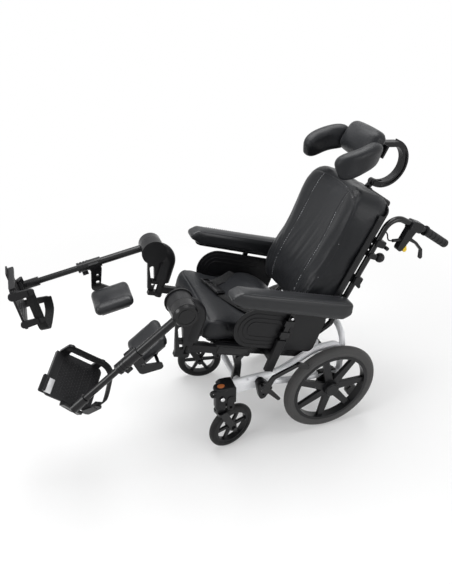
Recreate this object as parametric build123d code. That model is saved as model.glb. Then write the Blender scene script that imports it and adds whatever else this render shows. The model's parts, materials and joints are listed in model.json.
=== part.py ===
from build123d import *
from math import atan2, cos, degrees, hypot, radians, sin
import os

# Tilt in space wheelchair, in millimetres. X points to the occupant's left, Y to the rear and
# Z up. The chassis is drawn from the floor point under the rear axle; the finished pieces are
# shifted so that the origin lies on the floor, in the middle of the whole chair.

# ---- overall driving sizes ----
origin_shift_y = 325          # rear axle behind the origin
seat_tilt = 20                # seat angle as photographed, front end up
back_recline = 5              # back angle beyond square to the seat
side_tube_x = 198             # middle of each side frame
running_fit = 0.05            # radial clearance of pins and shafts
soft_gap = 0.3                # clearance of cushions from what carries them

# ---- rear wheels ----
rear_tyre_radius = 200
rear_tyre_width = 38
rear_rim_radius = 161
rear_rim_width = 32
rear_rim_depth = 13
rear_wheel_x = 241
rear_spoke_count = 7
rear_hub_radius = 31
rear_axle_radius = 6
drum_radius = 50

# ---- casters ----
caster_radius = 98
caster_tyre_width = 30
caster_rim_radius = 76
caster_spoke_count = 6
caster_stem_x = 222
caster_stem_y = -457
caster_trail = 50
caster_swing_left = -15       # swivel angle of each fork as photographed
caster_swing_right = 12
caster_head_top = 328
caster_housing_bottom = 207
caster_housing_radius = 23
fork_blade = 6
caster_axle_radius = 5

# ---- chassis tubes ----
upper_tube = 30
lower_tube = 26
head_face_y = -400            # where the side frame meets the caster head
hoop_tube = 25
hoop_y = 60
hoop_top_z = 437
hoop_bottom_z = 226
hoop_bend = 75
cross_front_y = -370
cross_front_z = 288
cross_rear_y = 43
cross_rear_z = 208
tie_hole_radius = 7
tie_front = (-487, 314)       # holes of the tie-down loops, along and above
tie_rear = (-422, 232)

# ---- tilt pivot and gas spring ----
pivot_y = -368
pivot_z = 410
pivot_pin = 6
gas_foot_y = 52
gas_foot_z = 244
gas_head_y = 200              # on the seat, from the tilt pivot
gas_head_z = 12
gas_lug_y = 210
gas_cylinder_radius = 12
gas_bore_radius = 8.5
gas_rod_radius = 5
gas_cylinder_length = 165
gas_eye_radius = 11
gas_pin_radius = 5

# ---- seat, measured from the tilt pivot along and square to the seat ----
rail_x = 171
rail_width = 22
rail_bottom = 22
rail_top = 58
rail_front = -125
rail_rear = 262
pan_thickness = 7
seat_front = -184
seat_rear = 225
seat_half_width = 192
seat_cushion_height = 104
belt_width = 38
belt_thickness = 2
buckle_height = 64
back_pivot_y = 278.7
back_pivot_z = 90.8
back_pin = 6

# ---- back, measured from its pivot: w rearward, u up ----
post_x = 190
post_foot_x = 169             # foot of each post, inboard of the side frame
post_tube = 22
post_w = 30
handle_u = 566
shell_w = 18.5
shell_thickness = 5
shell_bottom = 95
shell_top = 592
shell_half_width = 198
back_cushion_depth = 125
back_cushion_bottom = 97
back_cushion_top = 602
crossbar_low_u = 215
crossbar_high_u = 430
crossbar_tube = 20

# ---- armrests ----
arm_x = 231
arm_post_y = 108
arm_post_depth = 20
arm_post_width = 8
arm_plate_z = 248
arm_pad_top = 318
arm_pad_width = 60
arm_pad_front = -165
arm_pad_rear = 334
guard_x = 216.5
guard_thickness = 4
guard_bottom = 76
guard_top = 234
guard_front = -91
guard_rear = 268
socket_top = 125

# ---- legrests ----
swing_y = -226
swing_pin = 8
hanger_x = 198
elbow_width = 46
elbow_depth = 58              # of the padded elbow, in the plane of its bend
elbow_bend = 54
hub_inner = 222               # inner face of the knee hub
hub_radius = 44
hub_y = -300
hub_z = 203
strut_thickness = 16
leg_x = 238
leg_tube = 28
leg_inner_tube = 23
leg_outer_length = 290
leg_length = 505
leg_raise_left = 33           # legrest angles from square to the seat, as photographed
leg_raise_right = 60.5
calf_pad_x = 107
calf_pad_width = 140
calf_pad_height = 148
calf_pad_y = 90
calf_pad_drop = 204
calf_rod_y = 120
calf_rod = 6
foot_hinge_inset = 16
foot_width = 165
foot_front = -104
foot_rear = 70
foot_thickness = 8
foot_pitch_left = 16          # the toe end of each tread points down
foot_pitch_right = -2
foot_flip_left = 34           # the left footplate hangs half folded
strap_height = 46              # of the heel strap above the tread
strap_start = 66
strap_lean = 10

os.makedirs("parts", exist_ok=True)
across = Plane(origin=(0, 0, 0), x_dir=(0, 1, 0), z_dir=(1, 0, 0))   # sketches in Y and Z


def side_plate(sketch, x0, x1):
    """Plate with an outline in Y and Z, between two stations across the chair."""
    low, high = min(x0, x1), max(x0, x1)
    return extrude(across.offset(low) * sketch, high - low)


def cross_rod(y, z, radius, x0, x1):
    """Round bar along X."""
    return side_plate(Pos(y, z) * Circle(radius), x0, x1)


def straight_bar(start, end, radius):
    """Round bar between two points."""
    a, b = Vector(*start), Vector(*end)
    return extrude(Plane(a, z_dir=b - a) * Circle(radius), (b - a).length)


def bent_tube(points, bends, diameter):
    """Round tube along straight runs joined by tangent arcs."""
    route = FilletPolyline(*points, radius=bends)
    start = Plane(origin=route @ 0, z_dir=route % 0)
    return sweep(start * Circle(diameter / 2), path=route)


def tapered_link(p, q, r_p, r_q):
    """Outline around two circles, joined by their outer tangents."""
    return make_hull((Pos(*p) * Circle(r_p)).edges() + (Pos(*q) * Circle(r_q)).edges())


def box_between(x, y, z):
    """Block between pairs of limits."""
    size = [abs(b - a) for a, b in (x, y, z)]
    middle = [(a + b) / 2 for a, b in (x, y, z)]
    return Pos(*middle) * Box(*size)


def mirrored(shape):
    return mirror(shape, about=Plane.YZ)


def both_sides(shape):
    return Compound(children=[*solids_of(shape), *solids_of(mirrored(shape))])


def solids_of(shape):
    return list(shape.solids())


bottom_up = (Align.CENTER, Align.CENTER, Align.MIN)


def save(name, shape):
    solids = [s.moved(Pos(0, origin_shift_y, 0)) for s in solids_of(shape)]
    export_step(solids[0] if len(solids) == 1 else Compound(children=solids), f"parts/{name}.step")


# ---- frames that the seat, back and legs are drawn in ----
seat_frame = Pos(0, pivot_y, pivot_z) * Rot(-seat_tilt, 0, 0)
back_frame = seat_frame * Pos(0, back_pivot_y, back_pivot_z) * Rot(-back_recline, 0, 0)


# ================= rear wheels =================
def rear_tyre():
    """Solid puncture-proof tyre, crowned, seated on the rim."""
    half, seat = rear_tyre_width / 2, rear_rim_radius
    with BuildSketch(Plane.XY) as section:
        with BuildLine():
            foot_left = (-half + 4, seat)
            foot_right = (half - 4, seat)
            shoulder_left = (-half, seat + 12)
            shoulder_right = (half, seat + 12)
            Line(foot_left, foot_right)
            Line(foot_right, shoulder_right)
            ThreePointArc(shoulder_right, (half - 4, rear_tyre_radius - 9), (0, rear_tyre_radius))
            ThreePointArc((0, rear_tyre_radius), (-half + 4, rear_tyre_radius - 9), shoulder_left)
            Line(shoulder_left, foot_left)
        make_face()
    return revolve(section.sketch, Axis.X)


def spoked_wheel(rim_radius, rim_width, rim_depth, hub_radius, hub_width, spokes, root, tip, thick):
    """Moulded wheel about X: stepped rim, hub and tapered spokes."""
    inner = rim_radius - rim_depth
    rim = extrude(Circle(rim_radius) - Circle(inner), rim_width / 2, both=True)
    hub = extrude(Circle(hub_radius), hub_width / 2, both=True)
    spoke = make_face(Polyline((-root / 2, hub_radius - 4), (root / 2, hub_radius - 4),
                               (tip / 2, inner + 3), (-tip / 2, inner + 3), close=True))
    arms = [Rot(0, 0, 360 / spokes * i) * extrude(spoke, thick / 2, both=True) for i in range(spokes)]
    return Rot(0, 90, 0) * (rim + hub + arms)


def rear_rim():
    hub_width = 2 * (rear_wheel_x - side_tube_x - 21)
    wheel = spoked_wheel(rear_rim_radius, rear_rim_width, rear_rim_depth, rear_hub_radius,
                         hub_width, rear_spoke_count, 34, 24, 14)
    cap = extrude(Plane.YZ.offset(hub_width / 2) * Circle(rear_hub_radius - 3), 4, taper=30)
    bore = extrude(Plane.YZ.offset(-hub_width / 2) * Circle(rear_axle_radius + running_fit),
                   hub_width - 6)
    return wheel + cap - bore


at_rear_wheel = Pos(rear_wheel_x, 0, rear_tyre_radius)
for side, turn in (("left", Rot(0, 0, 0)), ("right", Rot(0, 0, 180))):
    place = turn * at_rear_wheel
    save(f"rear_rim_{side}", place * rear_rim())
    save(f"rear_tyre_{side}", place * rear_tyre())


# ================= casters =================
def caster_tyre():
    half, seat = caster_tyre_width / 2, caster_rim_radius
    crown = caster_radius - seat
    with BuildSketch(Plane.XY) as section:
        with BuildLine():
            Line((-half, seat), (half, seat))
            Line((half, seat), (half, seat + crown * 0.5))
            ThreePointArc((half, seat + crown * 0.5), (half * 0.6, caster_radius - 2), (0, caster_radius))
            ThreePointArc((0, caster_radius), (-half * 0.6, caster_radius - 2), (-half, seat + crown * 0.5))
            Line((-half, seat + crown * 0.5), (-half, seat))
        make_face()
    return revolve(section.sketch, Axis.X)


def caster_rim():
    wheel = spoked_wheel(caster_rim_radius, caster_tyre_width - 4, 9, 17, caster_tyre_width + 4,
                         caster_spoke_count, 15, 11, 10)
    return wheel - cross_rod(0, 0, caster_axle_radius + running_fit, -caster_tyre_width, caster_tyre_width)


def caster_fork():
    """Stem, crown and two raked blades that carry the caster axle."""
    inner = caster_tyre_width / 2 + 4
    crown_z = caster_housing_bottom - 1
    wheel = (caster_trail, caster_radius)
    blade_sketch = tapered_link((6, crown_z - 14), wheel, 15, 12)
    blade_sketch -= Pos(0, crown_z + 10) * Rectangle(80, 20)
    blades = [side_plate(blade_sketch, s * inner, s * (inner + fork_blade)) for s in (-1, 1)]
    crown = extrude(Plane.XY.offset(crown_z) * RectangleRounded(2 * (inner + fork_blade), 34, 10), -12)
    room = cross_rod(*wheel, caster_radius + 3, -inner, inner)
    stem = Pos(0, 0, crown_z) * Cylinder(8, 76, align=bottom_up)
    axle = cross_rod(*wheel, caster_axle_radius, -inner - fork_blade - 4, inner + fork_blade + 4)
    nuts = [cross_rod(*wheel, 9, s * (inner + fork_blade), s * (inner + fork_blade + 6)) for s in (-1, 1)]
    return (blades[0] + blades[1] + crown - room) + stem + axle + nuts


for side, sign, swing in (("left", 1, caster_swing_left), ("right", -1, caster_swing_right)):
    stand = Pos(sign * caster_stem_x, caster_stem_y, 0) * Rot(0, 0, -swing)
    hub_place = stand * Pos(0, caster_trail, caster_radius)
    save(f"caster_fork_{side}", stand * caster_fork())
    save(f"caster_rim_{side}", hub_place * caster_rim())
    save(f"caster_tyre_{side}", hub_place * caster_tyre())


# ================= chassis =================
def hoop():
    return bent_tube([(side_tube_x, hoop_y, hoop_bottom_z), (side_tube_x, hoop_y, hoop_top_z),
                      (-side_tube_x, hoop_y, hoop_top_z), (-side_tube_x, hoop_y, hoop_bottom_z)],
                     hoop_bend, hoop_tube)


def side_frame():
    """Upper tube that arches over the wheel, lower tube to the axle, and the web between them."""
    x = side_tube_x
    upper_z, lower_z = 306, 268
    upper = bent_tube([(x, head_face_y, upper_z), (x, -215, upper_z), (x, -62, 381), (x, 32, 380),
                       (x, hoop_y, 305)], [150, 90, 32], upper_tube)
    lower = bent_tube([(x, head_face_y, lower_z), (x, -245, lower_z), (x, -110, 240),
                       (x, hoop_y, 240)], [120, 120], lower_tube)
    web = box_between((x - 11, x + 11), (head_face_y, -245), (lower_z, upper_z))
    frame = upper + lower + web
    for y in (-343, -300):
        frame -= straight_bar((x + 6, y, upper_z + 6), (x + 20, y, upper_z + 20), 4.5)
    return frame - hoop()


def caster_head():
    """Cast head: stem housing, arm to the side frame, cap and two tie-down loops."""
    inner, outer = side_tube_x - 16, caster_stem_x + 20
    post = Pos(caster_stem_x, caster_stem_y, 0)
    top = caster_head_top
    arm = side_plate(make_face(Polyline((-462, 318), (-448, top), (-424, top), (head_face_y, top - 4),
                                        (head_face_y, 250), (-424, 247), (-450, 262), close=True)),
                     inner, outer)
    arm = fillet(arm.edges().filter_by(Axis.X), 5)
    body = extrude(post * Pos(0, 0, caster_housing_bottom + 26) * RectangleRounded(40, 44, 12),
                   top - caster_housing_bottom - 34)
    foot = extrude(post * Pos(0, 0, caster_housing_bottom + 26) * RectangleRounded(40, 44, 12),
                   -26, taper=14)
    cap = extrude(post * Pos(0, 4, top - 10) * RectangleRounded(46, 58, 20), 10)
    cap = fillet(cap.faces().sort_by(Axis.Z)[-1].edges(), 6)
    front_loop = tapered_link(tie_front, (-470, top - 18), 14, 13)
    rear_loop = tapered_link(tie_rear, (-421, 270), 14, 14)
    plate = (outer - 8, outer + 3)
    head = arm + body + foot + cap + side_plate(front_loop, *plate) + side_plate(rear_loop, *plate)
    head += cross_rod(caster_stem_y + 3, 282, 11, outer - 10, outer + 3)
    head -= post * Pos(0, 0, caster_housing_bottom - 1) * Cylinder(
        8 + running_fit, 77, align=bottom_up)
    for place in (tie_front, tie_rear):
        head -= cross_rod(*place, tie_hole_radius, outer - 10, outer + 5)
    return head


def axle_bracket():
    """Black bracket that hangs the axle and the drum plate from the lower tube."""
    axle = (0, rear_tyre_radius)
    outline = make_hull((Pos(*axle) * Circle(28)).edges() + (Pos(cross_rear_y, cross_rear_z) * Circle(22)).edges()
                        + (Pos(-25, 240) * Circle(17)).edges() + (Pos(28, 240) * Circle(17)).edges())
    bracket = side_plate(outline, side_tube_x - 10, side_tube_x + 9)
    drum = cross_rod(*axle, drum_radius, side_tube_x + 9, side_tube_x + 20)
    spindle = cross_rod(*axle, rear_axle_radius, side_tube_x - 12, rear_wheel_x + 12)
    lower = bent_tube([(side_tube_x, -245, 268), (side_tube_x, -110, 240), (side_tube_x, hoop_y, 240)],
                      120, lower_tube)
    return bracket + drum + spindle - lower - hoop()


def cross_tubes():
    frame = side_frame()
    front = cross_rod(cross_front_y, cross_front_z, hoop_tube / 2, -side_tube_x, side_tube_x)
    front = front - frame - mirrored(frame)
    front = max(front.solids(), key=lambda s: s.volume)
    rear = cross_rod(cross_rear_y, cross_rear_z, hoop_tube / 2, -side_tube_x + 10, side_tube_x - 10)
    foot = make_hull((Pos(gas_foot_y, gas_foot_z) * Circle(gas_eye_radius)).edges()
                     + (Pos(cross_rear_y, cross_rear_z) * Circle(12)).edges())
    for s in (-1, 1):
        rear += side_plate(foot, s * 12.5, s * 18)
    rear += cross_rod(gas_foot_y, gas_foot_z, gas_pin_radius, -20, 20)
    return Compound(children=[front, *rear.solids()])


def tilt_upright():
    """Curved plate from the front cross tube up to the tilt pivot, with its pin."""
    top = (pivot_y, pivot_z)
    foot = (cross_front_y, cross_front_z)
    outline = tapered_link(foot, (foot[0] + 9, 350), 17, 13) + tapered_link((foot[0] + 9, 350), top, 13, 16)
    plate = side_plate(outline, 146, 158)
    pin = cross_rod(*top, pivot_pin, 146, 186)
    head = cross_rod(*top, 10, 183, 187)
    tube = cross_rod(*foot, hoop_tube / 2, 100, 200)
    return plate + pin + head - tube


def brake_base():
    """Clamp on the side frame that carries the parking brake lever."""
    outer = side_tube_x + upper_tube / 2
    outline = make_hull((Pos(*brake_pivot) * Circle(18)).edges() + (Pos(-288, 238) * Circle(15)).edges()
                        + (Pos(-262, 268) * Circle(12)).edges())
    base = side_plate(outline, outer, outer + 22)
    hook = side_plate(Pos(-285, 268) * RectangleRounded(40, 40, 5), outer - 6, outer)
    bore = cross_rod(*brake_pivot, 5 + running_fit, outer - 2, outer + 30)
    for y, z in ((-291, 272), (-272, 262), (-286, 244)):
        base -= cross_rod(y, z, 4.5, outer, outer + 22)
    return base + hook - side_frame() - bore


def brake_lever():
    """Hand lever outside the tyre, its shaft, and the arm with the shoe that presses the tyre."""
    outer = side_tube_x + upper_tube / 2 + 22.5
    hand = tapered_link(brake_pivot, (-262, 352), 14, 9) + tapered_link((-262, 352), (-165, 386), 9, 8)
    lever = side_plate(hand, rear_wheel_x + 22, rear_wheel_x + 30)
    grip = side_plate(tapered_link((-165, 386), (-129, 366), 8, 9), rear_wheel_x + 20, rear_wheel_x + 34)
    shaft = cross_rod(*brake_pivot, 5, outer - 20, rear_wheel_x + 30)
    arm = side_plate(tapered_link(brake_pivot, brake_shoe, 12, brake_shoe_radius), outer, outer + 7)
    shoe = cross_rod(*brake_shoe, brake_shoe_radius, outer, rear_wheel_x + 16)
    return lever + grip + shaft + arm + shoe


def anti_tipper():
    """Collar on the rear cross tube, stay and a small roller."""
    x = 152
    collar = cross_rod(cross_rear_y, cross_rear_z, 19, x, x + 24)
    bore = cross_rod(cross_rear_y, cross_rear_z, hoop_tube / 2 + running_fit, x - 1, x + 25)
    roller = (cross_rear_y + 118, 68)
    stay = straight_bar((x + 12, cross_rear_y + 8, cross_rear_z - 8), (x + 12, roller[0], roller[1]), 9)
    wheel = cross_rod(*roller, 26, x, x + 24)
    return collar + stay + wheel - bore


brake_pivot = (-296, 300)
brake_shoe = (-223, 207)
brake_shoe_radius = 7
left_frame = side_frame()
save("chassis_side_left", left_frame)
save("chassis_side_right", mirrored(left_frame))
save("rear_hoop", hoop())
save("cross_tubes", cross_tubes())
save("tilt_uprights", both_sides(tilt_upright()))
save("caster_heads", both_sides(caster_head()))
save("chassis_brackets", both_sides(Compound(children=[axle_bracket(), brake_base()])))
for side, turn in (("left", False), ("right", True)):
    lever, tipper = brake_lever(), anti_tipper()
    save(f"parking_brake_{side}", mirrored(lever) if turn else lever)
    save(f"anti_tipper_{side}", mirrored(tipper) if turn else tipper)


# ================= gas spring =================
gas_head = (seat_frame * Pos(0, gas_head_y, gas_head_z)).position
gas_run = Vector(0, gas_head.Y - gas_foot_y, gas_head.Z - gas_foot_z)
gas_length = gas_run.length
gas_frame = Location(Plane((0, gas_foot_y, gas_foot_z), x_dir=(1, 0, 0), z_dir=gas_run))


def gas_cylinder():
    eye = cross_rod(0, 0, gas_eye_radius, -12, 12)
    tube = extrude(Plane.XY.offset(8) * Circle(gas_cylinder_radius), gas_cylinder_length - 8)
    bore = extrude(Plane.XY.offset(30) * Circle(gas_bore_radius), gas_cylinder_length)
    return eye + tube - bore - cross_rod(0, 0, gas_pin_radius + running_fit, -20, 20)


def gas_rod():
    reach = gas_length - gas_cylinder_length + 60
    eye = cross_rod(0, gas_length, gas_eye_radius, -12, 12)
    rod = extrude(Plane.XY.offset(gas_length - reach) * Circle(gas_rod_radius), reach - 6)
    return eye + rod - cross_rod(0, gas_length, gas_pin_radius + running_fit, -20, 20)


save("gas_cylinder", gas_frame * gas_cylinder())
save("gas_rod", gas_frame * gas_rod())


# ================= seat =================
def seat_rail():
    """Rail with the lug that turns on the tilt pin."""
    outline = Pos((rail_front + rail_rear) / 2, (rail_bottom + rail_top) / 2) * RectangleRounded(
        rail_rear - rail_front, rail_top - rail_bottom, 6)
    rail = side_plate(outline, rail_x - rail_width / 2, rail_x + rail_width / 2)
    lug = tapered_link((0, 0), (0, rail_bottom + 8), 15, 24)
    rail += side_plate(lug, rail_x - rail_width / 2, rail_x + rail_width / 2)
    bore = cross_rod(0, 0, pivot_pin + running_fit, 150, 190)
    return rail - bore


def seat_pan():
    """Pan on the rails, the crossbars under it and the gas spring's lug."""
    rail_inner = rail_x - rail_width / 2
    pan = box_between((-rail_x - 9, rail_x + 9), (seat_front + 34, 195), (rail_top, rail_top + pan_thickness))
    pan = fillet(pan.edges().filter_by(Axis.Z), 18)
    bars = [cross_rod(y, 40, 11, -rail_inner, rail_inner) for y in (-90, gas_lug_y)]
    lug = tapered_link((gas_lug_y, 40), (gas_head_y, gas_head_z), 14, gas_eye_radius)
    for s in (-1, 1):
        bars[1] += side_plate(lug, s * 12.5, s * 18)
    bars[1] += cross_rod(gas_head_y, gas_head_z, gas_pin_radius, -20, 20)
    return Compound(children=[pan, *solids_of(bars[0]), *solids_of(bars[1])])


def cushion_section(half, low, high, crown, pull):
    """Section of a padded block: flat base, sides drawn in at mid height, crowned top."""
    base, top = half - 10, half - 6
    with BuildSketch() as sketch:
        with BuildLine():
            Line((-base, low), (base, low))
            ThreePointArc((base, low), (half - pull, (low + high) / 2), (top, high))
            ThreePointArc((top, high), (0, high + crown), (-top, high))
            ThreePointArc((-top, high), (-half + pull, (low + high) / 2), (-base, low))
        make_face()
    return sketch.sketch


def seat_cushion():
    """Crowned seat cushion, rounded over at the front and drawn in along its sides."""
    low = rail_top + pan_thickness + soft_gap
    high = rail_top + seat_cushion_height - 12
    stations = [(seat_front, 16, 34, 20, 6), (seat_front + 12, 5, 12, 3, 12), (seat_front + 60, 0, 2, 0, 12),
                (20, 0, 0, 6, 13), (seat_rear - 30, 0, 0, 2, 9), (seat_rear, 0, 16, 10, 3)]
    sections = []
    for y, lift, drop, narrow, crown in stations:
        outline = cushion_section(seat_half_width - narrow, low + lift, high - drop, crown, 2)
        sections.append(Plane(origin=(0, y, 0), x_dir=(1, 0, 0), z_dir=(0, -1, 0)) * outline)
    return loft(sections) - box_between((-300, 300), (-300, 300), (0, low))


def seat_brackets():
    """Legrest receiver, armrest socket and back bracket of one side."""
    rail_outer = rail_x + rail_width / 2
    plate = Pos((rail_front + 148) / 2 - 75, 40) * RectangleRounded(144, 40, 6)
    block = side_plate(Pos(-48, 40) * RectangleRounded(148, 40, 6), rail_outer, rail_outer + 18)
    arm = box_between((rail_outer + 2, hanger_x + 6), (swing_y, -118), (26, 54))
    boss = Pos(hanger_x, swing_y, 24) * Cylinder(14, 34, align=bottom_up)
    receiver = block + arm + boss - Pos(hanger_x, swing_y, 41) * Cylinder(swing_pin + running_fit, 60)
    ring = side_plate(Pos(-96, 12) * (Circle(12) - Circle(6.5)), rail_outer + 8, rail_outer + 13)
    receiver += ring
    y0, y1 = arm_post_y - arm_post_depth / 2, arm_post_y + arm_post_depth / 2
    socket = box_between((arm_x - 9, arm_x + 9), (y0 - 8, y1 + 8), (-14, socket_top))
    socket = fillet(socket.edges().filter_by(Axis.Z), 4)
    stay = box_between((rail_outer, arm_x - 8), (y0 - 4, y1 + 4), (26, 54))
    well = box_between((arm_x - arm_post_width / 2 - 0.3, arm_x + arm_post_width / 2 + 0.3),
                       (y0 - 0.3, y1 + 0.3), (-4, socket_top + 1))
    socket = socket + stay - well
    rail_inner = rail_x - rail_width / 2
    ear = side_plate(tapered_link((250, 40), (back_pivot_y, back_pivot_z), 17, 16), rail_inner - 11, rail_inner)
    pin = cross_rod(back_pivot_y, back_pivot_z, back_pin, rail_inner - 11, post_foot_x + 11)
    cap = cross_rod(back_pivot_y, back_pivot_z, 10, post_foot_x + 8.5, post_foot_x + 12)
    return Compound(children=[*solids_of(receiver), *solids_of(socket), *solids_of(ear + pin + cap)])


def lap_belt():
    """Webbing that lies on the crowned cushion, with its buckle in the middle."""
    cushion = seat_cushion()
    layer = cushion.moved(Pos(0, 0, belt_thickness + soft_gap)) - cushion.moved(Pos(0, 0, soft_gap))
    knee = (-25, -84)
    webs = []
    for s in (-1, 1):
        end = Vector(s * 182, 62)
        run = end - Vector(*knee)
        angle = degrees(atan2(run.Y, run.X))
        strip = Pos(knee[0], knee[1]) * Rot(0, 0, angle) * Pos(run.length / 2 + 15, 0) * Rectangle(
            run.length - 30, belt_width)
        webs += solids_of(extrude(Pos(0, 0, rail_top + 60) * strip, 100) & layer)
    buckle = extrude(Pos(*knee, rail_top + 60) * Rot(0, 0, 24) * RectangleRounded(92, 52, 10), 60)
    buckle = buckle - cushion.moved(Pos(0, 0, soft_gap)) - webs
    lid = extrude(Pos(*knee, rail_top + 60) * Rectangle(200, 200), buckle_height + rail_top - 12)
    return Compound(children=[*webs, *solids_of(buckle & lid)])


save("seat_rails", both_sides(seat_frame * seat_rail()))
save("seat_pan", seat_frame * seat_pan())
save("seat_cushion", seat_frame * seat_cushion())
save("seat_brackets", both_sides(seat_frame * seat_brackets()))
save("lap_belt", seat_frame * lap_belt())


# ================= back =================
def back_frame_solids():
    """Posts that bend into the push handles, and the crossbars between them."""
    pieces = []
    for s in (-1, 1):
        x, foot = s * post_x, s * post_foot_x
        tube = bent_tube([(foot, 0, 0), (foot, 16, 42), (x, post_w, 104), (x, post_w, handle_u),
                          (x, 205, handle_u - 13)], [50, 40, 52], post_tube)
        boss = cross_rod(0, 0, 15, foot - 8, foot + 8)
        slab = box_between((foot - 20, foot - 8), (-30, 30), (-30, 22)) + box_between(
            (foot + 8, foot + 20), (-30, 30), (-30, 22))
        tube = tube + boss - slab - cross_rod(0, 0, back_pin + running_fit, foot - 20, foot + 20)
        pieces += solids_of(tube)
    reach = post_x
    post = Pos(0, post_w, 0) * Cylinder(post_tube / 2, 2000)
    for u in (crossbar_low_u, crossbar_high_u):
        bar = cross_rod(post_w, u, crossbar_tube / 2, -reach, reach)
        bar = bar - Pos(post_x, 0, 0) * post - Pos(-post_x, 0, 0) * post
        if u == crossbar_high_u:
            bar += box_between((-24, 24), (post_w - 9, post_w + 11), (u - 45, u + 45))
            bar -= box_between((-13.3, 13.3), (post_w - 4.3, post_w + 4.3), (u - 60, u + 60))
        pieces.append(max(bar.solids(), key=lambda b: b.volume))
    return Compound(children=pieces)


def back_shell():
    """Moulded shell with forward wings and hooks that sit on the crossbars."""
    half, t = shell_half_width, shell_thickness
    wing = 42
    with BuildSketch() as sketch:
        with BuildLine():
            outer = FilletPolyline((-half, shell_w - wing), (-half, shell_w), (half, shell_w),
                                   (half, shell_w - wing), radius=26)
            offset(outer, t, side=Side.RIGHT)
        make_face()
    shell = extrude(Plane.XY.offset(shell_bottom) * sketch.sketch, shell_top - shell_bottom)
    face = Pos(0, (shell_bottom + shell_top) / 2) * RectangleRounded(2 * half + 2, shell_top - shell_bottom, 70)
    keep = extrude(Plane.XZ.offset(-100) * face, 400)
    shell = shell & keep
    for x in (-110, 110):
        for u in (crossbar_low_u, crossbar_high_u):
            hook = box_between((x - 12, x + 12), (shell_w - 1, post_w), (u - 13, u + 13))
            shell += hook - cross_rod(post_w, u, crossbar_tube / 2, -200, 200)
    return shell


def back_cushion():
    """Back cushion with side bolsters, a hollow middle, drawn-in sides and two channels."""
    rear = shell_w - shell_thickness - soft_gap
    stations = [(back_cushion_bottom, 4, 22), (back_cushion_bottom + 40, 0, 4), (330, 5, 0),
                (back_cushion_top - 70, 3, 3), (back_cushion_top - 22, 22, 14), (back_cushion_top, 52, 34)]
    sections = []
    for u, narrow, drop in stations:
        half = shell_half_width - shell_thickness - soft_gap - narrow
        front = -back_cushion_depth + drop
        with BuildSketch() as sketch:
            with BuildLine():
                Line((-half + 6, rear), (half - 6, rear))
                ThreePointArc((half - 6, rear), (half, rear - 20), (half - 1, rear - 40))
                ThreePointArc((half - 1, rear - 40), (half - 8, (rear + front) / 2 - 12), (half - 16, front + 8))
                ThreePointArc((half - 16, front + 8), (half - 40, front), (half - 80, front + 3))
                ThreePointArc((half - 80, front + 3), (0, front + 10), (-half + 80, front + 3))
                ThreePointArc((-half + 80, front + 3), (-half + 40, front), (-half + 16, front + 8))
                ThreePointArc((-half + 16, front + 8), (-half + 8, (rear + front) / 2 - 12), (-half + 1, rear - 40))
                ThreePointArc((-half + 1, rear - 40), (-half, rear - 20), (-half + 6, rear))
            make_face()
        sections.append(Plane.XY.offset(u) * sketch.sketch)
    half = shell_half_width - shell_thickness - soft_gap
    with BuildSketch() as inside:
        with BuildLine():
            pocket = FilletPolyline((-half, -300), (-half, rear), (half, rear), (half, -300), radius=20)
            Line(pocket @ 1, pocket @ 0)
        make_face()
    return loft(sections) & extrude(inside.sketch, 900)


handle_top = (205, handle_u - 13)


def push_grip():
    """Ribbed grip with a domed end on the handle tube."""
    x = post_x
    start, end = Vector(x, handle_top[0], handle_top[1]), Vector(x, 337, 531)
    along = Plane(start, z_dir=end - start)
    length = (end - start).length
    grip = extrude(along * Circle(16), length)
    grip = fillet(grip.faces().sort_by_distance(end)[0].edges(), 6)
    for i in range(5):
        step = 22 + i * 22
        grip -= extrude(along.offset(step) * (Circle(20) - Circle(14.8)), 6)
    flange = extrude(along * Circle(19), 6)
    tube = bent_tube([(x, post_w, 400), (x, post_w, handle_u), (x, *handle_top)], [52], post_tube)
    return grip + flange - tube


def lever_housing():
    """Clamp on the handle tube with the lever's body and cable adjuster below it."""
    x = post_x
    clamp = side_plate(Pos(150, handle_u - 10) * RectangleRounded(56, 36, 9), x - 17, x + 17)
    body = side_plate(tapered_link((142, 540), (136, 466), 20, 13), x - 12, x + 12)
    mouth = box_between((x - 5.5, x + 5.5), (lever_pivot[0] - 14, 220), (lever_pivot[1] - 16, lever_pivot[1] + 15))
    barrel = straight_bar((x, 124, 492), (x, 92, 480), 6)
    slit = box_between((x - 4.5, x + 4.5), (130, 175), (440, catch_pivot[1] + 9))
    tube = bent_tube([(x, post_w, 400), (x, post_w, handle_u), (x, 205, handle_u - 13)], [52], post_tube)
    pins = cross_rod(*lever_pivot, 2.5, x - 12, x + 12) + cross_rod(*catch_pivot, 2, x - 12, x + 12)
    return clamp + body + barrel - mouth - slit - tube + pins


lever_pivot = (148, 508)
catch_pivot = (150, 484)


def brake_hand_lever():
    """Curved finger lever that turns in the housing's mouth."""
    x = post_x
    blade = tapered_link(lever_pivot, (196, 500), 8, 5) + tapered_link((196, 500), (238, 482), 5, 5)
    blade += tapered_link((238, 482), (256, 455), 5, 7)
    lever = side_plate(blade, x - 5, x + 5)
    return lever - cross_rod(*lever_pivot, 2.5 + running_fit, x - 9, x + 9)


def lever_catch():
    """Small parking catch below the lever."""
    x = post_x
    tab = tapered_link(catch_pivot, (166, 462), 6, 8)
    return side_plate(tab, x - 4, x + 4) - cross_rod(*catch_pivot, 2 + running_fit, x - 9, x + 9)


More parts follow.
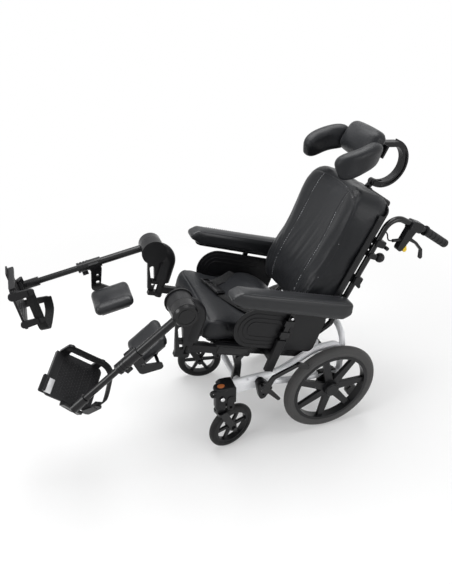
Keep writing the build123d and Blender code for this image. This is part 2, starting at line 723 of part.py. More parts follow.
def back_knobs():
    """Clamp collar with T handle, and ball knob on its stud, of one post."""
    x = post_x
    tube = Pos(x, post_w, 0) * Cylinder(post_tube / 2, 2000)
    collar = side_plate(Pos(post_w + 10, 458) * RectangleRounded(40, 26, 7), x - 16, x + 16)
    tee = straight_bar((x, post_w + 26, 456), (x, 74, 449), 6) + cross_rod(76, 449, 7, x - 17, x + 17)
    stud = straight_bar((x, post_w + 14, 406), (x, 70, 406), 5)
    saddle = side_plate(Pos(post_w + 7, 406) * RectangleRounded(34, 20, 6), x - 14, x + 14)
    ball = Pos(x, 80, 406) * Sphere(18)
    catch = side_plate(tapered_link((post_w + 14, 296), (60, 278), 9, 6), x - 6, x + 6)
    rest = side_plate(Pos(post_w + 6, 300) * RectangleRounded(32, 34, 6), x - 14, x + 14)
    return Compound(children=[collar + tee - tube, saddle + stud + ball - tube, rest + catch - tube])


def brake_cable():
    """Cable from the adjuster over a short arc into the post."""
    x = post_x
    cable = bent_tube([(x, 92, 480), (x, 74, 473.2), (x, 62, 494), (x, post_w, 502)], [8, 8], 5)
    return cable - Pos(x, post_w, 0) * Cylinder(post_tube / 2, 2000)


def headrest_stem():
    """Flat bar that slides in the socket of the upper crossbar."""
    bar = box_between((-13, 13), (post_w - 4, post_w + 4), (crossbar_high_u - 55, 604))
    ear = side_plate(tapered_link((post_w, 600), headrest_pivot, 9, 12), -6, 6)
    return bar + ear + cross_rod(*headrest_pivot, 4, -16, 16)


headrest_pivot = (38, 622)
bracket_centre = (46, 700)
bracket_radius = 80


def headrest_bracket():
    """Slotted arc that carries the pads, with its fork on the stem."""
    cy, cz = bracket_centre
    start, end = -97, 86
    inner, outer = bracket_radius - 11, bracket_radius + 11

    def on_arc(angle, radius):
        return (cy + radius * cos(radians(angle)), cz + radius * sin(radians(angle)))

    def arc_band(a0, a1, r0, r1):
        mid = (a0 + a1) / 2
        with BuildSketch() as sketch:
            with BuildLine():
                ThreePointArc(on_arc(a0, r1), on_arc(mid, r1), on_arc(a1, r1))
                Line(on_arc(a1, r1), on_arc(a1, r0))
                ThreePointArc(on_arc(a1, r0), on_arc(mid, r0), on_arc(a0, r0))
                Line(on_arc(a0, r0), on_arc(a0, r1))
            make_face()
        return sketch.sketch

    arc = side_plate(arc_band(start, end, inner, outer), -16, 16)
    arc -= side_plate(arc_band(start + 26, end - 24, bracket_radius - 4, bracket_radius + 4), -20, 20)
    for s in (-1, 1):
        arc += side_plate(tapered_link(headrest_pivot, on_arc(-80, bracket_radius), 11, 11), s * 7, s * 14)
    arc -= box_between((-6.5, 6.5), (0, 80), (590, 637))
    arc -= cross_rod(*headrest_pivot, 4 + running_fit, -20, 20)
    carrier = side_plate(tapered_link((50, 776), (-46, 742), 9, 9), -16, 16)
    wings = Pos(0, -52, 738) * Box(190, 7, 44)
    return arc + carrier + wings


def padded_block(width, depth, height, corner):
    block = Box(width, depth, height)
    return fillet(block.edges(), corner)


def headrest_side_pad():
    """Side pad that curves forward and down beside the head, drawn in at both ends."""
    route = ThreePointArc((92, -86, 730), (124, -150, 686), (110, -214, 626))
    sections = []
    for reach, share in ((0, 0.5), (0.06, 0.82), (0.2, 1), (0.5, 1), (0.8, 1), (0.94, 0.82), (1, 0.5)):
        ahead = route % reach
        place = Plane(origin=route @ reach, x_dir=(ahead.Y, -ahead.X, 0), z_dir=ahead)
        sections.append(place * RectangleRounded(46 * share, 84 * share, 20 * share))
    return loft(sections)


def headrest_pads():
    """Neck pad with rounded edges and the two curved side pads."""
    centre = Pos(0, -88, 736) * Rot(-6, 0, 0) * padded_block(176, 58, 104, 25)
    side = headrest_side_pad()
    side = side - Pos(0, -88, 736) * Rot(-6, 0, 0) * Box(176 + 2 * soft_gap, 58 + 2 * soft_gap, 104 + 2 * soft_gap)
    side = side - Pos(0, -52, 738) * Box(190 + 2 * soft_gap, 7 + 2 * soft_gap, 44 + 2 * soft_gap)
    side = max(side.solids(), key=lambda b: b.volume)
    return Compound(children=[centre, side, *solids_of(mirrored(side))])


save("back_posts", back_frame * back_frame_solids())
save("back_shell", back_frame * back_shell())
save("back_cushion", back_frame * back_cushion())
save("push_grips", both_sides(back_frame * push_grip()))
save("lever_housings", both_sides(back_frame * lever_housing()))
save("back_knobs", both_sides(back_frame * back_knobs()))
save("brake_cables", both_sides(back_frame * brake_cable()))
save("headrest_stem", back_frame * headrest_stem())
save("headrest_bracket", back_frame * headrest_bracket())
save("headrest_pads", back_frame * headrest_pads())
for side, turn in (("left", False), ("right", True)):
    for name, shape in (("brake_lever", brake_hand_lever()), ("lever_catch", lever_catch())):
        placed = back_frame * shape
        save(f"{name}_{side}", mirrored(placed) if turn else placed)


# ================= armrests =================
def arm_post():
    """Post with the plate under the pad and the clamps that hold the side guard."""
    y0, y1 = arm_post_y - arm_post_depth / 2, arm_post_y + arm_post_depth / 2
    bar = box_between((arm_x - arm_post_width / 2, arm_x + arm_post_width / 2), (y0, y1), (-2, arm_plate_z))
    plate = Pos(arm_x, 85, arm_plate_z) * extrude(RectangleRounded(44, 420, 18), 4)
    guard_face = guard_x + guard_thickness
    for z in (150, 198):
        bar += box_between((guard_face, arm_x + 8), (y0 - 9, y1 + 9), (z - 11, z + 11))
    screw = cross_rod(arm_post_y, 222, 6, arm_x + 4, arm_x + 10)
    return bar + plate + screw


def arm_pad():
    """Pad that thickens to the rear, with rounded ends and edges."""
    low = arm_plate_z + 4 + soft_gap
    outline = Polyline((arm_pad_front + 6, low + 18), (arm_pad_front + 50, low), (arm_pad_rear - 30, low),
                       (arm_pad_rear, low + 26), (arm_pad_rear - 14, arm_pad_top + 6),
                       (arm_pad_front + 30, arm_pad_top - 8), (arm_pad_front, low + 34), close=True)
    side = fillet(make_face(outline).vertices(), 14)
    pad = side_plate(side, arm_x + 4 - arm_pad_width / 2, arm_x + 4 + arm_pad_width / 2)
    long_edges = pad.faces().sort_by(Axis.X)[0].edges() + pad.faces().sort_by(Axis.X)[-1].edges()
    return fillet(long_edges, 9)


def side_guard():
    """Side guard with a rounded front and concentric grooves."""
    mid, half = (guard_top + guard_bottom) / 2, (guard_top - guard_bottom) / 2
    nose = Pos(guard_front + half, mid) * Circle(half)
    tail = Pos((guard_front + half + guard_rear) / 2, mid) * Rectangle(guard_rear - guard_front - half, 2 * half)
    corner = Pos((guard_front + half + guard_rear) / 2, mid) * RectangleRounded(
        guard_rear - guard_front - half, 2 * half, 22)
    outline = nose + corner + Pos(guard_front + half + 40, mid) * Rectangle(80, 2 * half)
    guard = side_plate(outline, guard_x, guard_x + guard_thickness)
    for inset in (13, 30, 47):
        r = half - inset
        reach = 78
        slot = Pos(guard_front + half + reach / 2, mid) * SlotCenterToCenter(reach, 2 * r)
        slot -= Pos(guard_front + half + reach / 2, mid) * SlotCenterToCenter(reach, 2 * r - 10)
        guard -= side_plate(slot, guard_x + guard_thickness - 1.6, guard_x + guard_thickness + 1)
    return guard


for side, turn in (("left", False), ("right", True)):
    for name, shape in (("arm_post", arm_post()), ("arm_pad", arm_pad()), ("side_guard", side_guard())):
        placed = seat_frame * shape
        save(f"{name}_{side}", mirrored(placed) if turn else placed)


# ================= legrests =================
def leg_hanger():
    """Swing-away hanger: padded elbow over the swing pin, slotted strut and the knee hub's seat."""
    route = FilletPolyline((hanger_x, hub_y, hub_z + 6), (hanger_x, swing_y, hub_z + 6),
                           (hanger_x, swing_y, 76), radius=elbow_bend)
    start = Plane(origin=route @ 0, z_dir=route % 0, x_dir=(1, 0, 0))
    elbow = sweep(start * Ellipse(elbow_width / 2, elbow_depth / 2), path=route)
    hub = cross_rod(hub_y, hub_z, hub_radius, hanger_x - 26, hub_inner - 1)
    cover = cross_rod(hub_y, hub_z, hub_radius + 5, hanger_x - 30, hanger_x - 24)
    strut = make_hull((Pos(hub_y + 18, hub_z - 40) * Circle(26)).edges()
                      + (Pos(swing_y - 33, 32) * Circle(14)).edges()
                      + (Pos(swing_y - 15, 28) * Circle(14)).edges()
                      + (Pos(swing_y - 19, 120) * Circle(16)).edges())
    strut -= tapered_link((swing_y - 55, 122), (swing_y - 29, 46), 9, 6)
    strut = side_plate(strut, hanger_x + 2, hanger_x + 2 + strut_thickness)
    clevis = []
    for low, high in ((58.6, 80), (6, 23.4)):
        cap = Pos(hanger_x, swing_y, low) * Cylinder(16, high - low, align=bottom_up)
        clevis.append(cap + box_between((hanger_x - 6, hanger_x + 14), (swing_y - 43, swing_y),
                                              (low, min(high, 74))))
    room = Pos(hanger_x, swing_y, 23.4) * Cylinder(24, 35.2, align=bottom_up)
    room += box_between((hanger_x - 40, hanger_x - 6), (swing_y - 93, swing_y + 27), (23.4, 58.6))
    pin = Pos(hanger_x, swing_y, 6) * Cylinder(swing_pin, 70, align=bottom_up)
    stub = cross_rod(hub_y, hub_z, 12, hanger_x, leg_x + 6)
    return (elbow + hub + cover + strut + clevis - room) + pin + stub


def leg_outer(x):
    """Knee hub and outer tube, with the clamp collar and the calf pad bracket."""
    hub = cross_rod(0, 0, hub_radius, hub_inner - leg_x, 20)
    dome = extrude(Plane.YZ.offset(20) * Circle(hub_radius - 2), 8, taper=35)
    groove = Circle(hub_radius - 15) - Circle(hub_radius - 18)
    dome -= extrude(Plane.YZ.offset(28) * groove, 1.5, both=True)
    tube = extrude(Plane.XY.offset(-leg_outer_length) * Circle(leg_tube / 2), leg_outer_length - 20)
    collar = extrude(Plane.XY.offset(-leg_outer_length) * Circle(20), 44)
    for i in range(3):
        collar -= extrude(Plane.XY.offset(-leg_outer_length + 8 + 12 * i) * (Circle(24) - Circle(18)), 4)
    key = Pos(0, 24, -leg_outer_length + 22) * extrude(RectangleRounded(14, 26, 6), 11, both=True)
    band = extrude(Plane.XY.offset(-calf_pad_drop - 45) * Circle(19), 50)
    outline = make_hull((Pos(10, -calf_pad_drop - 20) * Circle(20)).edges()
                        + (Pos(calf_rod_y - 34, -calf_pad_drop - 44) * Circle(18)).edges())
    outline += tapered_link((calf_rod_y - 34, -calf_pad_drop - 44), (calf_rod_y, -calf_pad_drop), 18, 13)
    outline -= Pos(calf_rod_y - 52, -calf_pad_drop - 32) * Circle(7)
    outline -= Pos(calf_rod_y - 82, -calf_pad_drop - 24) * Circle(5)
    arm = side_plate(outline, -30, -20)
    link = box_between((-30, 0), (-12, 12), (-calf_pad_drop - 44, -calf_pad_drop - 6))
    rod = cross_rod(calf_rod_y, -calf_pad_drop, calf_rod, calf_pad_x - leg_x - 20, -20)
    leg = hub + dome + tube + collar + key + band + arm + link + rod
    leg -= extrude(Plane.XY.offset(-leg_outer_length - 1) * Circle(leg_inner_tube / 2 + running_fit), 200)
    return leg - cross_rod(0, 0, 12 + running_fit, -20, 7)


def leg_inner():
    """Inner tube, foot sleeve and the hinge ears of the footplate."""
    tube = extrude(Plane.XY.offset(-leg_length + 40) * Circle(leg_inner_tube / 2), 290)
    sleeve = extrude(Plane.XY.offset(-leg_length + 12) * Circle(17), 56)
    hinge_z = -leg_length
    ear = extrude(Plane.XZ.offset(-38) * tapered_link((-foot_hinge_inset, hinge_z), (-2, hinge_z + 12), 9, 6), 76)
    ear -= extrude(Plane.XZ.offset(-28.3) * Pos(-foot_hinge_inset, hinge_z) * Circle(11), 56.6)
    pin = extrude(Plane.XZ.offset(-40) * Pos(-foot_hinge_inset, hinge_z) * Circle(5), 80)
    return tube + sleeve + ear + pin


def footplate(pitch):
    """Tread with toe lip, strap posts and tread pattern, hinge barrel and support bar, drawn flat."""
    x0 = -foot_hinge_inset - 12
    x1 = x0 - foot_width
    top = -4
    base = top - foot_thickness
    tread = box_between((x1, x0), (foot_front, foot_rear), (base, top))
    tread = fillet(tread.edges().filter_by(Axis.Z), 20)
    lip = box_between((x1 + 8, x0 - 8), (foot_front - 4, foot_front + 4), (base, top + 12))
    lip = fillet(lip.edges().filter_by(Axis.Y), 5)
    wall = side_plate(tapered_link((foot_front + 24, base + 5), (foot_front + 24, strap_height + 6), 16, 12),
                      x1 - 4, x1 + 4)
    wall += side_plate(tapered_link((foot_rear - 30, base + 5), (foot_rear - 30, strap_height + 6), 14, 10),
                       x1 - 4, x1 + 4)
    ear = side_plate(tapered_link((60, base + 5), (strap_start, strap_height + 26), 15, 11), x0 - 3, x0 + 4)
    for i in range(5):
        y = foot_front + 26 + i * 29
        tread += box_between((x1 + 20, x0 - 20), (y, y + 6), (top - 1, top + 1.5))
    barrel = extrude(Plane.XZ.offset(-28) * Pos(-foot_hinge_inset, 0) * Circle(9), 56)
    leaf = box_between((x0 - 44, -foot_hinge_inset), (-27, 27), (base - 12, base - 7))
    pad = box_between((x0 - 44, x0 - 10), (-24, 24), (base - 8, base + 2))
    link = box_between((-foot_hinge_inset - 9, -foot_hinge_inset), (-27, 27), (base - 12, 0))
    support = box_between((x1 + 96, x0 - 6), (foot_front - 14, foot_front + 40), (base - 5, base))
    support = fillet(support.edges().filter_by(Axis.Z), 6)
    bore = extrude(Plane.XZ.offset(-60) * Pos(-foot_hinge_inset, 0) * Circle(5 + running_fit), 120)
    plate = Rot(pitch, 0, 0) * (tread + lip + wall + ear + support)
    plate = Pos(0, 0, -leg_length) * (plate + leaf + pad + link + barrel - bore) - heel_strap(pitch)
    return max(plate.solids(), key=lambda b: b.volume)


def heel_strap(pitch):
    """Band above the tread: along its inner side, behind the heel and back on the outer side."""
    x0 = -foot_hinge_inset - 12
    x1 = x0 - foot_width
    route = FilletPolyline((x0 + 3, strap_start - 8), (x0 + 3, foot_rear + 34), (x1 - 3, foot_rear + 34),
                           (x1 - 3, foot_front + 14), radius=40)
    start = Plane(origin=route @ 0, z_dir=route % 0, x_dir=(1, 0, 0))
    band = sweep(start * Rectangle(3, 34), path=route)
    lean = Pos(x1, 0, strap_height) * Rot(0, -strap_lean, 0) * Pos(-x1, 0, 0)
    return Pos(0, 0, -leg_length) * Rot(pitch, 0, 0) * lean * band


def calf_pad():
    """Calf pad with rounded corners and a hollowed face, on a back plate with two lugs."""
    pad = Pos(0, calf_pad_y, -calf_pad_drop) * padded_block(calf_pad_width, 42, calf_pad_height, 20)
    hollow = Pos(0, calf_pad_y - 206, 0) * Cylinder(192, 600)
    pad -= hollow
    plate = box_between((-58, 58), (calf_pad_y + 17, calf_pad_y + 22), (-calf_pad_drop - 52, -calf_pad_drop + 52))
    lugs = [side_plate(tapered_link((calf_rod_y, -calf_pad_drop), (calf_pad_y + 20, -calf_pad_drop), 12, 14),
                       s * 14 + 16, s * 14 + 24) for s in (-1, 1)]
    pad = pad + plate + lugs - cross_rod(calf_rod_y, -calf_pad_drop, calf_rod + running_fit, -80, 80)
    return Pos(calf_pad_x - leg_x, 0, 0) * pad


for side, sign, angle, flip, pitch in (("left", 1, leg_raise_left, foot_flip_left, foot_pitch_left),
                                       ("right", -1, leg_raise_right, 0, foot_pitch_right)):
    leg_frame = seat_frame * Pos(leg_x, hub_y, hub_z) * Rot(-angle, 0, 0)
    foot_axis = Pos(-foot_hinge_inset, 0, -leg_length)
    flip_frame = leg_frame * foot_axis * Rot(0, flip, 0) * Pos(foot_hinge_inset, 0, leg_length)
    for name, place, shape in (("leg_hanger", seat_frame, leg_hanger()),
                               ("leg_tube_outer", leg_frame, leg_outer(leg_x)),
                               ("leg_tube_inner", leg_frame, leg_inner()),
                               ("calf_pad", leg_frame, calf_pad()),
                               ("footplate", flip_frame, footplate(pitch)),
                               ("heel_strap", flip_frame, heel_strap(pitch))):
        placed = place * shape
        save(f"{name}_{side}", placed if sign > 0 else mirrored(placed))
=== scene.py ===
import json
import math
import bmesh
import bpy
from mathutils import Matrix, Vector, noise
from mathutils.bvhtree import BVHTree
from mathutils.kdtree import KDTree


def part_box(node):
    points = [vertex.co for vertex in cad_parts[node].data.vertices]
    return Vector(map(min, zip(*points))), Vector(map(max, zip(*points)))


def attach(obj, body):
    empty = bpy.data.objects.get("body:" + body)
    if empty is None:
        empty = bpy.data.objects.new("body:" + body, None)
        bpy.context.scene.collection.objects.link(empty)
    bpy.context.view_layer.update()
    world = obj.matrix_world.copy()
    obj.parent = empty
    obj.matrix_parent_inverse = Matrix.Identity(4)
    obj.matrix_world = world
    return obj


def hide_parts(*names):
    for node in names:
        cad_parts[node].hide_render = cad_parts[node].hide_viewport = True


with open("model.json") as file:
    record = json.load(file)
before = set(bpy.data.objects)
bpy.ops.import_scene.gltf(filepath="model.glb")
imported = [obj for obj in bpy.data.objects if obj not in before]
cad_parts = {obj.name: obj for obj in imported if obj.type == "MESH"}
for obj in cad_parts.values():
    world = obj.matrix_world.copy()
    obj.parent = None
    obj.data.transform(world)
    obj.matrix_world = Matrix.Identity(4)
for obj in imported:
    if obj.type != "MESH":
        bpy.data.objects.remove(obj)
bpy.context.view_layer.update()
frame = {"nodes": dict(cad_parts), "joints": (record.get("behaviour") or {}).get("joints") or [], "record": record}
nodes = frame["nodes"]
joints = {joint["name"]: joint for joint in frame["joints"]}
print("frame loaded:", len(nodes), "nodes")

# camera, as the photograph was taken
cameraPlace = dict(eye=(1.611, -0.603, 1.714), look=(-0.786, 0.280, -0.552), lens=33.4)


def addCamera():
    data = bpy.data.cameras.new("viewCamera")
    data.lens = cameraPlace["lens"]
    camera = bpy.data.objects.new("viewCamera", data)
    camera.location = cameraPlace["eye"]
    camera.rotation_euler = Vector(cameraPlace["look"]).to_track_quat("-Z", "Y").to_euler()
    bpy.context.scene.collection.objects.link(camera)
    bpy.context.scene.camera = camera


addCamera()


# frames of the seat, back, legs and feet, from the joints
seatTilt, backRecline = 20, 5
legRaise = dict(left=33, right=60.5)
footFlip = dict(left=34, right=0)
footPitch = dict(left=16, right=-2)
legReach, hingeInset = 0.505, 0.016
mirrorX = Matrix.Diagonal((-1, 1, 1, 1))


def turnX(degrees):
    return Matrix.Rotation(math.radians(degrees), 4, "X")


def jointPoint(name):
    return Vector(joints[name]["pos_m"])


seatFrame = Matrix.Translation(jointPoint("seat_tilt")) @ turnX(-seatTilt)
backFrame = Matrix.Translation(jointPoint("back_recline")) @ turnX(-seatTilt - backRecline)


def legFrame(side):
    point = jointPoint("legrest_raise_" + side)
    point.x = abs(point.x)
    placed = Matrix.Translation(point) @ turnX(-seatTilt - legRaise[side])
    return placed if side == "left" else mirrorX @ placed


def footFrame(side):
    hinge = Matrix.Translation((-hingeInset, 0, -legReach))
    flip = Matrix.Rotation(math.radians(footFlip[side]), 4, "Y")
    return legFrame(side) @ hinge @ flip @ Matrix.Translation((hingeInset, 0, 0)) @ turnX(footPitch[side])


# finishes, by name
finishes = {}


def finish(name, colour, roughness, metallic=0.0, coat=0.0, sheen=0.0, edge=0.0008, shine=0.5,
           mottle=0.12, mottleSize=0.03, grain=0.0, grainSize=0.0008, smudge=0.06):
    mat = bpy.data.materials.new(name)
    mat.use_nodes = True
    nt = mat.node_tree
    shader = nt.nodes["Principled BSDF"]
    shader.inputs["Metallic"].default_value = metallic
    shader.inputs["Coat Weight"].default_value = coat
    shader.inputs["Coat Roughness"].default_value = 0.25
    shader.inputs["Specular IOR Level"].default_value = shine
    shader.inputs["Sheen Weight"].default_value = sheen
    place = nt.nodes.new("ShaderNodeTexCoord")
    patch = nt.nodes.new("ShaderNodeTexNoise")
    patch.inputs["Scale"].default_value = 1 / mottleSize
    patch.inputs["Detail"].default_value = 3
    nt.links.new(place.outputs["Object"], patch.inputs["Vector"])
    tone = nt.nodes.new("ShaderNodeMix")
    tone.data_type = "RGBA"
    tone.inputs["A"].default_value = (*[c * (1 - mottle) for c in colour], 1)
    tone.inputs["B"].default_value = (*[min(1, c * (1 + mottle)) for c in colour], 1)
    nt.links.new(patch.outputs["Fac"], tone.inputs["Factor"])
    nt.links.new(tone.outputs["Result"], shader.inputs["Base Color"])
    dull = nt.nodes.new("ShaderNodeMapRange")
    dull.inputs["To Min"].default_value = max(0, roughness - smudge)
    dull.inputs["To Max"].default_value = roughness + smudge
    nt.links.new(patch.outputs["Fac"], dull.inputs["Value"])
    nt.links.new(dull.outputs["Result"], shader.inputs["Roughness"])
    soft = nt.nodes.new("ShaderNodeBevel")
    soft.samples = 4
    soft.inputs["Radius"].default_value = edge
    bump = nt.nodes.new("ShaderNodeBump")
    bump.inputs["Strength"].default_value = grain
    bump.inputs["Distance"].default_value = 0.0004
    pores = nt.nodes.new("ShaderNodeTexVoronoi")
    pores.inputs["Scale"].default_value = 1 / grainSize
    nt.links.new(place.outputs["Object"], pores.inputs["Vector"])
    nt.links.new(pores.outputs["Distance"], bump.inputs["Height"])
    nt.links.new(soft.outputs["Normal"], bump.inputs["Normal"])
    nt.links.new(bump.outputs["Normal"], shader.inputs["Normal"])
    finishes[name] = mat


def addHeight(mat, socket, distance):
    # another bump on top of the grain
    nt = mat.node_tree
    shader = nt.nodes["Principled BSDF"]
    before = shader.inputs["Normal"].links[0].from_socket
    bump = nt.nodes.new("ShaderNodeBump")
    bump.inputs["Distance"].default_value = distance
    nt.links.new(socket, bump.inputs["Height"])
    nt.links.new(before, bump.inputs["Normal"])
    nt.links.new(bump.outputs["Normal"], shader.inputs["Normal"])


def treadRings(mat, ringPitch, depth):
    # fine rings moulded round a tyre
    nt = mat.node_tree
    place = nt.nodes.new("ShaderNodeTexCoord")
    rings = nt.nodes.new("ShaderNodeTexWave")
    rings.bands_direction = "X"
    rings.inputs["Scale"].default_value = math.pi / 10 / ringPitch  # the wave repeats every pi / 10
    nt.links.new(place.outputs["Object"], rings.inputs["Vector"])
    addHeight(mat, rings.outputs["Fac"], depth)


def wovenThreads(mat, threadPitch, depth):
    # warp and weft, measured along the strap by its own map
    nt = mat.node_tree
    place = nt.nodes.new("ShaderNodeUVMap")
    place.uv_map = "along"
    weave = nt.nodes.new("ShaderNodeTexBrick")
    weave.inputs["Scale"].default_value = 1 / threadPitch
    weave.inputs["Mortar Size"].default_value = 0.12
    weave.inputs["Brick Width"].default_value = 1.6
    weave.inputs["Row Height"].default_value = 0.8
    nt.links.new(place.outputs["UV"], weave.inputs["Vector"])
    turned = nt.nodes.new("ShaderNodeMath")
    turned.operation = "SUBTRACT"
    turned.inputs[0].default_value = 1
    nt.links.new(weave.outputs["Fac"], turned.inputs[1])
    addHeight(mat, turned.outputs["Value"], depth)


finish("silverLacquer", (0.93, 0.94, 0.965), 0.32, coat=0.4, edge=0.001, mottle=0.04,
       mottleSize=0.004, grain=0.05, grainSize=0.0006)
finish("blackLacquer", (0.0045, 0.0045, 0.0052), 0.24, coat=0.18, shine=0.22, mottle=0.15, grain=0.10,
       grainSize=0.0012)
finish("blackCasting", (0.0060, 0.0060, 0.0068), 0.40, shine=0.22, edge=0.0014, grain=0.30,
       grainSize=0.0012)
finish("mouldedBlack", (0.0080, 0.0080, 0.0090), 0.38, shine=0.22, edge=0.001, grain=0.22, grainSize=0.0009)
finish("wheelMoulding", (0.0090, 0.0091, 0.0102), 0.30, shine=0.22, edge=0.0016, grain=0.16,
       grainSize=0.0010)
finish("tyreRubber", (0.056, 0.055, 0.055), 0.60, shine=0.28, edge=0.0006, mottle=0.18, grain=0.30,
       grainSize=0.0010)
finish("casterRubber", (0.0095, 0.0095, 0.0095), 0.52, shine=0.20, edge=0.0006, mottle=0.18, grain=0.20,
       grainSize=0.0010)
finish("upholstery", (0.0088, 0.0095, 0.0112), 0.38, sheen=0.03, shine=0.22, edge=0.0004, mottle=0.10,
       mottleSize=0.06, grain=0.45, grainSize=0.0011)
finish("paddedSkin", (0.0175, 0.0182, 0.0200), 0.33, coat=0.10, shine=0.25, edge=0.0004, mottle=0.08,
       grain=0.30, grainSize=0.0009)
finish("webbing", (0.0055, 0.0056, 0.0062), 0.70, sheen=0.06, shine=0.16, edge=0.0003, mottle=0.2,
       mottleSize=0.01)
finish("gripRubber", (0.0090, 0.0090, 0.0098), 0.50, shine=0.22, edge=0.0012, grain=0.35, grainSize=0.0010)
finish("catchYellow", (0.92, 0.62, 0.012), 0.38, edge=0.001, mottle=0.06)
finish("capOrange", (0.42, 0.12, 0.03), 0.40, edge=0.0006, mottle=0.08)
finish("brightSteel", (0.62, 0.62, 0.63), 0.22, metallic=1.0, edge=0.0006, mottle=0.06, grain=0.04)
finish("brushedAluminium", (0.55, 0.55, 0.56), 0.40, metallic=0.8, edge=0.0006, mottle=0.1)
finish("cableSheath", (0.0075, 0.0075, 0.0080), 0.40, shine=0.25, edge=0.0003, mottle=0.1, grain=0.1)
finish("darkThread", (0.10, 0.10, 0.11), 0.60, sheen=0.1, edge=0.0001, mottle=0.15, mottleSize=0.004)
finish("seamThread", (0.56, 0.57, 0.60), 0.70, sheen=0.2, edge=0.0001, mottle=0.15, mottleSize=0.004)
treadRings(finishes["tyreRubber"], 0.0052, 0.0009)
treadRings(finishes["casterRubber"], 0.0060, 0.0006)
wovenThreads(finishes["webbing"], 0.0016, 0.0004)

slotFinish = dict(silver_frame="silverLacquer", black_metal="blackLacquer", bright_steel="brightSteel",
                  black_plastic="mouldedBlack", wheel_plastic="wheelMoulding", tyre_rubber="tyreRubber",
                  upholstery="upholstery", webbing="webbing", grip_rubber="gripRubber",
                  catch_yellow="catchYellow", cable_sheath="cableSheath")
nodeFinish = dict(caster_tyre_left="casterRubber", caster_tyre_right="casterRubber",
                  caster_heads="blackCasting", chassis_brackets="blackCasting",
                  seat_brackets="blackCasting")


def dressNodes():
    slots = {part["node"]: part["material_slot"] for part in frame["record"]["subparts"]}
    for name, node in nodes.items():
        mat = finishes[nodeFinish.get(name, slotFinish[slots[name]])]
        node.data.materials.clear()
        node.data.materials.append(mat)


dressNodes()
print("finishes on the frame")


# small workshop of mesh helpers
def newPiece(name, mesh, mat, body, smooth=True):
    mesh.materials.clear()
    mesh.materials.append(finishes[mat])
    if smooth:
        mesh.shade_smooth()
    piece = bpy.data.objects.new(name, mesh)
    bpy.context.scene.collection.objects.link(piece)
    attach(piece, body)
    return piece


def meshOf(name, bm):
    bmesh.ops.recalc_face_normals(bm, faces=bm.faces)
    mesh = bpy.data.meshes.new(name)
    bm.to_mesh(mesh)
    bm.free()
    return mesh


def applied(piece):
    # bakes the modifiers into the mesh
    bpy.context.view_layer.update()
    ready = piece.evaluated_get(bpy.context.evaluated_depsgraph_get())
    mesh = bpy.data.meshes.new_from_object(ready)
    piece.modifiers.clear()
    piece.data = mesh


pathStep = 0.004


def smoothPath(points, step=pathStep):
    # even points on a curve through the given ones
    pts = [Vector(p) for p in points]
    pts = [2 * pts[0] - pts[1], *pts, 2 * pts[-1] - pts[-2]]
    dense = []
    for a, b, c, d in zip(pts, pts[1:], pts[2:], pts[3:]):
        for i in range(16):
            t = i / 16
            dense.append(0.5 * (2 * b + (c - a) * t + (2 * a - 5 * b + 4 * c - d) * t ** 2
                                + (3 * b - a - 3 * c + d) * t ** 3))
    dense.append(pts[-2])
    even, carry = [dense[0]], 0.0
    for a, b in zip(dense, dense[1:]):
        run = (b - a).length
        while run > 0 and carry + run >= step:
            a = a.lerp(b, (step - carry) / run)
            run = (b - a).length
            carry = 0.0
            even.append(a)
        carry += run
    return even


strapEdge = [(-0.5, 0), (-0.47, 0.5), (0, 0.62), (0.47, 0.5),
             (0.5, 0), (0.47, -0.5), (0, -0.62), (-0.47, -0.5)]


def ribbon(name, points, across, width, thickness, mat, body):
    # strap with rounded edges along a path; across is the direction of its width
    path = smoothPath(points)
    bm = bmesh.new()
    uv = bm.loops.layers.uv.new("along")
    rings = []
    for i, point in enumerate(path):
        ahead = (path[min(i + 1, len(path) - 1)] - path[max(i - 1, 0)]).normalized()
        side = Vector(across)
        side = (side - ahead * side.dot(ahead)).normalized()
        up = ahead.cross(side)
        spots = [point + side * (a * width) + up * (b * thickness) for a, b in strapEdge]
        rings.append([bm.verts.new(spot) for spot in spots])
    count = len(strapEdge)
    for i, (first, second) in enumerate(zip(rings, rings[1:])):
        for k in range(count):
            j = (k + 1) % count
            face = bm.faces.new((first[k], first[j], second[j], second[k]))
            grid = [(i, k), (i, j), (i + 1, j), (i + 1, k)]
            for loop, (row, column) in zip(face.loops, grid):
                loop[uv].uv = (row * pathStep, strapEdge[column][0] * width)
    bm.faces.new(rings[0])
    bm.faces.new(rings[-1][::-1])
    return newPiece(name, meshOf(name, bm), mat, body)


def roundBlock(name, place, size, radius, mat, body):
    # block with rounded edges, centred on place
    bm = bmesh.new()
    bmesh.ops.create_cube(bm, size=1, matrix=place @ Matrix.Diagonal((*size, 1)))
    bmesh.ops.bevel(bm, geom=bm.edges[:], offset=radius, segments=3, affect="EDGES", profile=0.5)
    newPiece(name, meshOf(name, bm), mat, body)


def lathed(bm, place, profile, count=24):
    # turned form about local z from (radius, height) pairs; closed at both ends
    rings = []
    for radius, height in profile:
        ring = []
        for i in range(count):
            angle = 2 * math.pi * i / count
            spot = Vector((radius * math.cos(angle), radius * math.sin(angle), height))
            ring.append(bm.verts.new(place @ spot))
        rings.append(ring)
    for first, second in zip(rings, rings[1:]):
        for i in range(count):
            j = (i + 1) % count
            bm.faces.new((first[i], first[j], second[j], second[i]))
    bm.faces.new(rings[0][::-1])
    bm.faces.new(rings[-1])


def facing(point, direction):
    # local z along direction, at point
    turn = Vector(direction).to_track_quat("Z", "Y").to_matrix().to_4x4()
    return Matrix.Translation(Vector(point)) @ turn


screwShape = dict(crown=0.45, dome=[(1, 0.4), (0.9, 0.8), (0.7, 1)], root=0.002, socket=0.5, rim=1.1,
                  depth=0.35)


